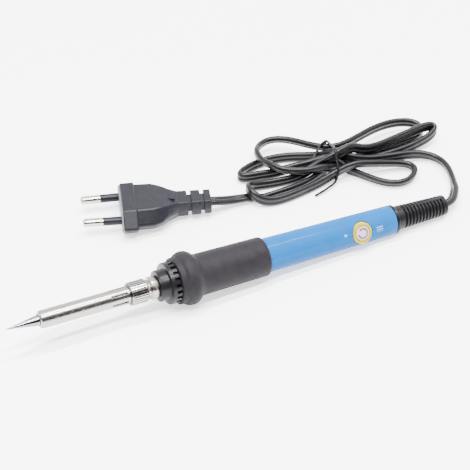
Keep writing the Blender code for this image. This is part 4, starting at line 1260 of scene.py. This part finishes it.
@dataclass
class Dial(Placed):
    """The temperature dial: a glossy rim, a pale disc and small number groups."""

    radius: float = 5.1
    thick: float = 2.3
    top: float = 7.528
    recess: float = 3.8
    hub: float = 2.0
    disc: float = 3.5
    disc_top: float = 7.628
    numbers: tuple[str, ...] = ("200", "250", "300", "350", "400", "450")
    height: float = 1.15
    ring: float = 2.15
    first_turn: float = -150.0
    turn_step: float = 52.0

    def build(self, rim: Finish, disc: Finish, ink: Finish) -> None:
        """Builds the rim, the disc and the printed numbers."""
        low = self.top - self.thick
        outer = [(low, self.radius), (self.top - 0.75, self.radius),
                 (self.top - 0.35, self.radius - 0.08), (self.top - 0.1, self.radius - 0.28),
                 (self.top, self.radius - 0.6),
                 (self.top, self.recess + 0.25), (self.top - 0.12, self.recess + 0.05),
                 (self.top - 0.9, self.recess), (self.top - 0.9, self.hub)]
        bore = [(low, self.hub)]
        piece = lathe("dial_knob_look", outer, bore, steps=96, smooth=45)
        self.put(piece, rim, "dial_yellow", "dial_knob")
        face = lathe(
            "dial_scale_look",
            [(self.disc_top - 1.0, self.disc), (self.disc_top - 0.15, self.disc),
             (self.disc_top, self.disc - 0.15), (self.disc_top, 0.3)],
            steps=96,
        )
        self.put(face, disc, "dial_white", "dial_scale")
        self.print_numbers(ink)

    def print_numbers(self, ink: Finish) -> None:
        """Sets the numbers round the disc, each reading outward, with a gap at the stop."""
        made = []
        for index, number in enumerate(self.numbers):
            turn = math.radians(self.first_turn + index * self.turn_step)
            bpy.ops.object.select_all(action="DESELECT")
            bpy.ops.object.text_add()
            words = bpy.context.view_layer.objects.active
            words.data.body = number
            words.data.size = self.height * 1.25
            words.data.align_x, words.data.align_y = "CENTER", "CENTER"
            words.data.extrude = 0.012
            words.data.offset = 0.05
            words.data.resolution_u = 3
            bpy.ops.object.convert(target="MESH")
            spot = Matrix.Rotation(turn, 4, "Z") @ Matrix.Translation(
                (self.ring, 0, self.disc_top + 0.008)
            ) @ Matrix.Rotation(-math.pi / 2, 4, "Z")
            words.data.transform(spot)
            made.append(words)
        whole = joined(made)
        whole.name = "dial_numbers"
        self.put(whole, ink, "component_black")


@dataclass
class EndFitting(Placed):
    """The black end ring and the ribbed boot that guards the cord."""

    ribs: int = 12
    pitch: float = 1.9
    base: float = 5.75
    end: float = 4.95
    depth: float = 1.1
    first: float = 197.8
    front: float = 194.4
    back: float = 222.1
    bore: float = 2.9

    def build(self, ring: Finish, boot: Finish) -> None:
        """Turns the ring and the boot, then joins the ribs with two webs."""
        outer = [(192.6, 6.7), (192.75, 6.9), (193.0, 6.95), (193.8, 6.95), (194.1, 6.7)]
        collar = lathe("end_collar_look", outer, [(194.1, 3.2), (192.6, 3.2)])
        self.put(collar, ring, "black_nylon", "end_collar")
        outer = [(self.front, self.base - 0.2), (194.6, self.base), (197.5, self.base)]
        for rib in range(self.ribs):
            start = self.first + rib * self.pitch
            size = self.base + (self.end - self.base) * (rib + 1) / self.ribs
            inner = size - self.depth
            outer += [(start, inner + 0.1), (start + 0.12, inner), (start + 0.85, inner),
                      (start + 0.95, inner + 0.12), (start + 1.0, size - 0.16),
                      (start + 1.14, size), (start + 1.76, size),
                      (start + self.pitch - 0.02, size - 0.16)]
        last = self.first + self.ribs * self.pitch
        outer += [(last + 0.05, self.end), (last + 1.3, self.end), (self.back, self.end - 0.25)]
        bore = [(self.back, self.bore), (self.front, self.bore)]
        piece = lathe("strain_relief_boot_look", outer, bore, steps=80, smooth=38)
        webs = [block("web", (1.4, 1.7, 23.4), (side * 4.35, 0, 209.0), 0.2) for side in (-1, 1)]
        whole = joined([piece, *webs])
        self.put(whole, boot, "boot_pvc", "strain_relief_boot")


@dataclass
class Plug(Placed):
    """The flat moulded plug with its face plate, two half-sleeved pins and a grooved tail."""

    half_width: float = 17.65
    flat: float = 11.0
    half_height: float = 6.85
    pin_radius: float = 2.0
    pin_length: float = 19.0
    pin_gap: float = 18.6
    pin_lean: float = math.radians(1.7)
    sleeve: float = 9.6
    groove_stations: tuple[float, ...] = (32.4, 38.6)

    @staticmethod
    def hexagon(half: float, flat: float, high: float) -> list[tuple[float, float]]:
        """Outline of a section: wide at mid-height, with sloping cheeks."""
        return [(half, -0.6), (half, 0.6), (flat, high), (-flat, high),
                (-half, 0.6), (-half, -0.6), (-flat, -high), (flat, -high)]

    def loft(
        self, name: str, sections: Sequence[tuple[float, float, float, float]], bevel: float
    ) -> Piece:
        """Extrudes a section backward, resizing it at each station.

        Args:
            name: The piece's name.
            sections: Station, half width, half flat and half height of each section.
            bevel: Rounding of its edges.

        Returns:
            The solid, upright, with its width along X and its height along Y.
        """
        piece = primitive(
            name, bpy.ops.mesh.primitive_circle_add, vertices=8, radius=1, fill_type="NGON"
        )
        mesh = bmesh.from_edit_mesh(piece.data)
        mesh.verts.ensure_lookup_table()
        station, *first = sections[0]
        order = sorted(mesh.verts, key=lambda v: math.atan2(v.co.y, v.co.x))
        outline = sorted(self.hexagon(*first), key=lambda p: math.atan2(p[1], p[0]))
        for vertex, (x, y) in zip(order, outline):
            vertex.co = (x, y, station)
        bmesh.update_edit_mesh(piece.data)
        for low, high in zip(sections, sections[1:]):
            bpy.ops.mesh.extrude_region_move(
                TRANSFORM_OT_translate={"value": (0, 0, high[0] - low[0])}
            )
            mesh = bmesh.from_edit_mesh(piece.data)
            ring = [vertex for vertex in mesh.verts if vertex.select]
            order = sorted(ring, key=lambda v: math.atan2(v.co.y / low[3], v.co.x / low[1]))
            outline = sorted(
                self.hexagon(*high[1:]),
                key=lambda p: math.atan2(p[1] / high[3], p[0] / high[1]),
            )
            for vertex, (x, y) in zip(order, outline):
                vertex.co.x, vertex.co.y = x, y
            bmesh.update_edit_mesh(piece.data)
        close(piece, 30)
        return rounded(piece, bevel, 3, 20)

    def body_piece(self) -> Piece:
        """The moulded body: block, tapered shoulders and grooved relief."""
        height = self.half_height
        block_part = self.loft("plug_body_look", [
            (0.0, self.half_width, self.flat, height), (6.8, self.half_width, self.flat, height)
        ], 0.55)
        shoulders = self.loft("shoulders", [
            (5.6, 15.3, 10.2, 6.2), (14.5, 15.05, 10.0, 6.1), (18.75, 13.2, 8.6, 5.6),
            (22.75, 8.9, 6.6, 4.8), (27.0, 5.9, 5.0, 4.1),
        ], 0.9)
        relief = self.loft("relief", [
            (24.5, 5.9, 5.1, 4.1), (31.0, 5.8, 5.0, 4.0), (42.8, 5.5, 4.7, 3.8)
        ], 0.45)
        tools = []
        for station in self.groove_stations:
            for side in (-1, 1):
                tools.append(block("groove", (5.0, 12.0, 1.8), (side * 5.7, 0, station), 0.2))
                tools.append(block("groove", (7.6, 3.4, 1.8), (0.5, side * 4.3, station), 0.2))
        relief = cut(relief, joined(tools))
        return joined([block_part, shoulders, relief])

    def arrow(self) -> Piece:
        """The raised arrow moulded on the top between the body and the relief."""
        piece = primitive(
            "arrow", bpy.ops.mesh.primitive_cylinder_add, vertices=3, radius=4.2, depth=0.7
        )
        close(piece, 30)
        leaning_back = Matrix.Rotation(math.radians(-101), 4, "X")
        piece.data.transform(Matrix.Translation((0, 4.9, 23.2)) @ leaning_back)
        return rounded(piece, 0.12, 2, 30)

    def pin(self, side: int, name: str) -> tuple[Piece, Piece]:
        """One pin and its sleeve, leaning a little towards the middle."""
        end = -self.pin_length
        radius = self.pin_radius
        outer = [(end, 0.9), (end + 0.12, 1.35), (end + 0.4, 1.75), (end + 0.9, radius),
                 (1.0, radius)]
        pin = lathe(f"plug_pin_{name}_look", outer, steps=48)
        sleeve = lathe(
            f"pin_sleeve_{name}_look",
            [(-self.sleeve, radius - 0.05), (-self.sleeve + 0.1, radius + 0.02),
             (0.5, radius + 0.02)],
            [(0.5, radius - 0.3), (-self.sleeve, radius - 0.3)], steps=48,
        )
        spot = Matrix.Translation((side * self.pin_gap / 2, 0, 0)) @ Matrix.Rotation(
            side * self.pin_lean, 4, "Y"
        )
        for piece in (pin, sleeve):
            piece.data.transform(spot)
        return pin, sleeve

    def build(
        self, pvc: Finish, bridge: Finish, metal: Finish,
        sleeving: Finish,
    ) -> list[Piece]:
        """Builds the plug's pieces.

        Args:
            pvc: Finish of the body.
            bridge: Finish of the face plate, lighter grey than the body as painted light on its lit
                face.
            metal: Finish of the pins.
            sleeving: Finish of the sleeves.

        Returns:
            Every piece that goes with the cord.
        """
        made = [
            self.put(self.body_piece(), pvc, "plug_pvc", "plug_body"),
            self.put(self.arrow(), pvc, "plug_pvc"),
        ]
        # Painted light: the face plate is lighter grey than the body, standing in for its brightly
        # lit face.
        plate = self.loft("plug_bridge_look", [
            (-0.7, self.half_width - 1.1, self.flat - 0.6, self.half_height - 0.7),
            (1.2, self.half_width - 0.9, self.flat - 0.5, self.half_height - 0.6),
        ], 0.25)
        made.append(self.put(plate, bridge, "plug_grey", "plug_bridge"))
        for side, name in ((-1, "left"), (1, "right")):
            pin, sleeve = self.pin(side, name)
            made.append(self.put(pin, metal, "pin_nickel", f"plug_pin_{name}"))
            made.append(self.put(sleeve, sleeving, "pin_sleeve", f"pin_sleeve_{name}"))
        return made


@dataclass
class TwistTie:
    """A plastic-covered wire round the middle of the hank, twisted at its ends."""

    centre: tuple[float, float] = (80.5, 53.5)
    heading: float = math.radians(-12)
    radius: float = 0.62
    clearance: float = 0.1
    slice: float = 2.2
    reach: float = 16.0
    waver: float = 0.7

    def build(
        self, line: np.ndarray, core: tuple[float, float], finish: Finish
    ) -> Piece:
        """Wraps the wire round the strands that pass through its plane.

        Args:
            line: The cord's places, in millimetres.
            core: Half the cord's thickness and half its width.
            finish: The wire's finish.

        Returns:
            The wire.
        """
        normal = np.array([math.cos(self.heading), math.sin(self.heading), 0.0])
        side = np.array([-normal[1], normal[0], 0.0])
        offset = line - np.array([*self.centre, 0.0])
        near = np.abs(offset @ normal) < self.slice
        flat = np.column_stack([offset[near] @ side, offset[near][:, 2]])
        flat = flat[np.abs(flat[:, 0]) < self.reach]
        turns = np.linspace(0, 2 * math.pi, 72, endpoint=False)
        loop = []
        for turn in turns:
            direction = np.array([math.cos(turn), math.sin(turn)])
            far = flat[np.argmax(flat @ direction)]
            reach = math.hypot(direction[0] * core[0], direction[1] * core[1])
            spot = far + (reach + self.clearance + self.radius) * direction
            loop.append([spot[0], max(spot[1], self.radius + 0.05)])
        places = [
            (self.centre[0] + normal[0] * lift + side[0] * sideways,
             self.centre[1] + normal[1] * lift + side[1] * sideways, height)
            for (sideways, height), lift in zip(loop, self.waver * np.sin(turns + 0.5))
        ]
        rank = range(len(places))
        top = places[max(rank, key=lambda index: places[index][2] + 0.6 * loop[index][0])]
        low = places[min(rank, key=lambda index: places[index][2] + 0.9 * loop[index][0])]
        ends = [
            self.steps_from(top, (-4.5, -2.2, 0.4), (-9.0, -5.2, -1.6), (-13, -8, -4.2)),
            self.steps_from(low, (-2.5, -2.4, 0.2), (-8.0, -4.0, -0.6), (-15, -5.5, -1.2)),
        ]
        made = [self.wire("twist_tie_look", smooth_route([*places, *places[:6]], 0.8))]
        for index, end in enumerate(ends):
            tail = smooth_route(end, 0.8)
            tail[:, 2] = np.maximum(tail[:, 2], self.radius + 0.1)
            made.append(self.wire(f"twist_tie_end_{index}", tail))
        whole = joined(made)
        return dress(whole, Body.HANDLE, finish, "tie_pvc", "twist_tie")

    def wire(self, name: str, line: np.ndarray) -> Piece:
        """Sweeps the wire's round section along a line."""
        across = np.tile(np.array([0.2, 0.1, 1.0]), (len(line), 1))
        return swept(name, line, across, disc_section(self.radius, 12))

    @staticmethod
    def steps_from(place: Point, *steps: Point) -> list[Point]:
        """A place, then the places that lie at each step from it."""
        moved = [tuple(at + by for at, by in zip(place, step)) for step in steps]
        return [place, *moved]


@dataclass
class InnerParts:
    """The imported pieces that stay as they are: heater, board, its components and the leads."""

    nodes: dict[str, tuple[str, ...]] = field(default_factory=lambda: {
        "ceramic": ("heater_rod", "heater_flange"),
        "lead_sleeve": ("heater_lead_live", "heater_lead_neutral"),
        "laminate": ("circuit_board",),
        "component_black": ("triac", "potentiometer_body"),
        "component_blue": ("diac",),
        "component_yellow": ("timing_capacitor",),
        "component_beige": ("dropper_resistor",),
        "dial_white": ("dial_shaft",),
        "lead_pvc": ("mains_lead_live", "mains_lead_neutral"),
    })

    def build(self, library: dict[str, Finish]) -> None:
        """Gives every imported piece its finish, which has the name of its slot."""
        for slot, nodes in self.nodes.items():
            for node in nodes:
                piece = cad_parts[node]
                piece.data.materials.clear()
                piece.data.materials.append(library[slot])
                LOG.info("%s: dressed as %s", node, slot)


def finish_library() -> dict[str, Finish]:
    """Builds every finish once, by name."""
    finishes = [
        Metal("tip_plating", rgb(0.20, 0.205, 0.23), 0.14, IRON_AXIS, shank_shade_from=15.6),
        Metal("stainless", rgb(0.31, 0.29, 0.277), 0.22, IRON_AXIS, smudge=0.06),
        Metal("nickel", rgb(0.33, 0.308, 0.288), 0.22, IRON_AXIS),
        Metal("nut_nickel", rgb(0.36, 0.338, 0.32), 0.20, IRON_AXIS, groove_shade_below=5.12),
        Metal("pin_nickel", rgb(0.40, 0.38, 0.34), 0.14, PLUG_UPRIGHT),
        Moulded("ceramic", rgb(0.78, 0.76, 0.70), 0.55, 0.03, 9.0),
        Fibre("lead_sleeve", rgb(0.72, 0.70, 0.62)),
        Moulded("black_nylon", rgb(0.0045, 0.0042, 0.0052), 0.30, 0.012, 7.0, dust=0.35),
        Moulded("grip_silicone", rgb(0.0098, 0.0085, 0.0104), 0.58, 0.018, 9.0, dust=0.15,
                specular=0.1),
        GlossShell("blue_shell", rgb(0.0, 0.080, 0.25), rgb(0.26, 0.34, 0.42)),
        Moulded("boot_pvc", rgb(0.0042, 0.0040, 0.0048), 0.36, 0.02, 6.0, dust=0.3),
        Moulded("dial_yellow", rgb(0.34, 0.255, 0.002), 0.24, 0.008, 5.0, coat=0.1, soft=0.06),
        Moulded("dial_white", rgb(0.42, 0.33, 0.37), 0.38, 0.006, 6.0, variation=0.05),
        Moulded("dial_ink", rgb(0.006, 0.002, 0.006), 0.5, 0.004, 9.0),
        Laminate("laminate", rgb(0.03, 0.16, 0.06)),
        Moulded("component_black", rgb(0.02, 0.02, 0.02), 0.42, 0.02, 8.0),
        Moulded("component_blue", rgb(0.05, 0.16, 0.50), 0.35, 0.01, 8.0),
        Moulded("component_yellow", rgb(0.80, 0.48, 0.05), 0.35, 0.01, 8.0),
        Moulded("component_beige", rgb(0.62, 0.50, 0.34), 0.5, 0.02, 8.0),
        Moulded("lead_pvc", rgb(0.10, 0.07, 0.05), 0.4, 0.01, 8.0),
        Moulded("plug_pvc", rgb(0.0062, 0.0062, 0.0088), 0.36, 0.02, 6.0, dust=0.4),
        # Painted light: lighter grey than the plug body, for the plug's lit face plate.
        Moulded("plug_grey", rgb(0.10, 0.10, 0.115), 0.45, 0.02, 6.0, dust=0.3),
        Moulded("pin_sleeve", rgb(0.006, 0.006, 0.009), 0.34, 0.01, 7.0),
        CordSheath("cord_pvc", rgb(0.0034, 0.0029, 0.0035), 0.36),
        Moulded("tie_pvc", rgb(0.0035, 0.0034, 0.0040), 0.35, 0.01, 8.0),
    ]
    return {finish.name: finish.material() for finish in finishes}


def main() -> None:
    """Builds the stage and every sub-assembly in order."""
    logging.basicConfig(level=logging.INFO, format="%(message)s")
    Studio().build()
    looks = finish_library()
    Bit(Body.BARREL, IRON_AXIS).build(looks["tip_plating"])
    Barrel(Body.BARREL, IRON_AXIS).build(looks["stainless"])
    KnurledNut(Body.NUT, IRON_AXIS).build(looks["nut_nickel"])
    ThreadedCollar(Body.HANDLE, IRON_AXIS).build(looks["nickel"])
    NoseCap(Body.HANDLE, IRON_AXIS).build(looks["black_nylon"])
    GripSleeve(Body.HANDLE, IRON_AXIS).build(looks["grip_silicone"])
    HandleShell(Body.HANDLE, IRON_AXIS).build(looks["blue_shell"])
    Dial(Body.DIAL, DIAL_AXIS).build(looks["dial_yellow"], looks["dial_white"], looks["dial_ink"])
    EndFitting(Body.HANDLE, IRON_AXIS).build(looks["black_nylon"], looks["boot_pvc"])
    InnerParts().build(looks)
    riders = Plug(Body.HANDLE, PLUG_UPRIGHT).build(
        looks["plug_pvc"], looks["plug_grey"], looks["pin_nickel"], looks["pin_sleeve"]
    )
    cord = MainsCord()
    piece, line = cord.build(looks["cord_pvc"])
    around = (cord.core, cord.core + 0.8 * cord.half)
    riders.append(TwistTie().build(line, around, looks["tie_pvc"]))


if __name__ == "__main__":
    main()
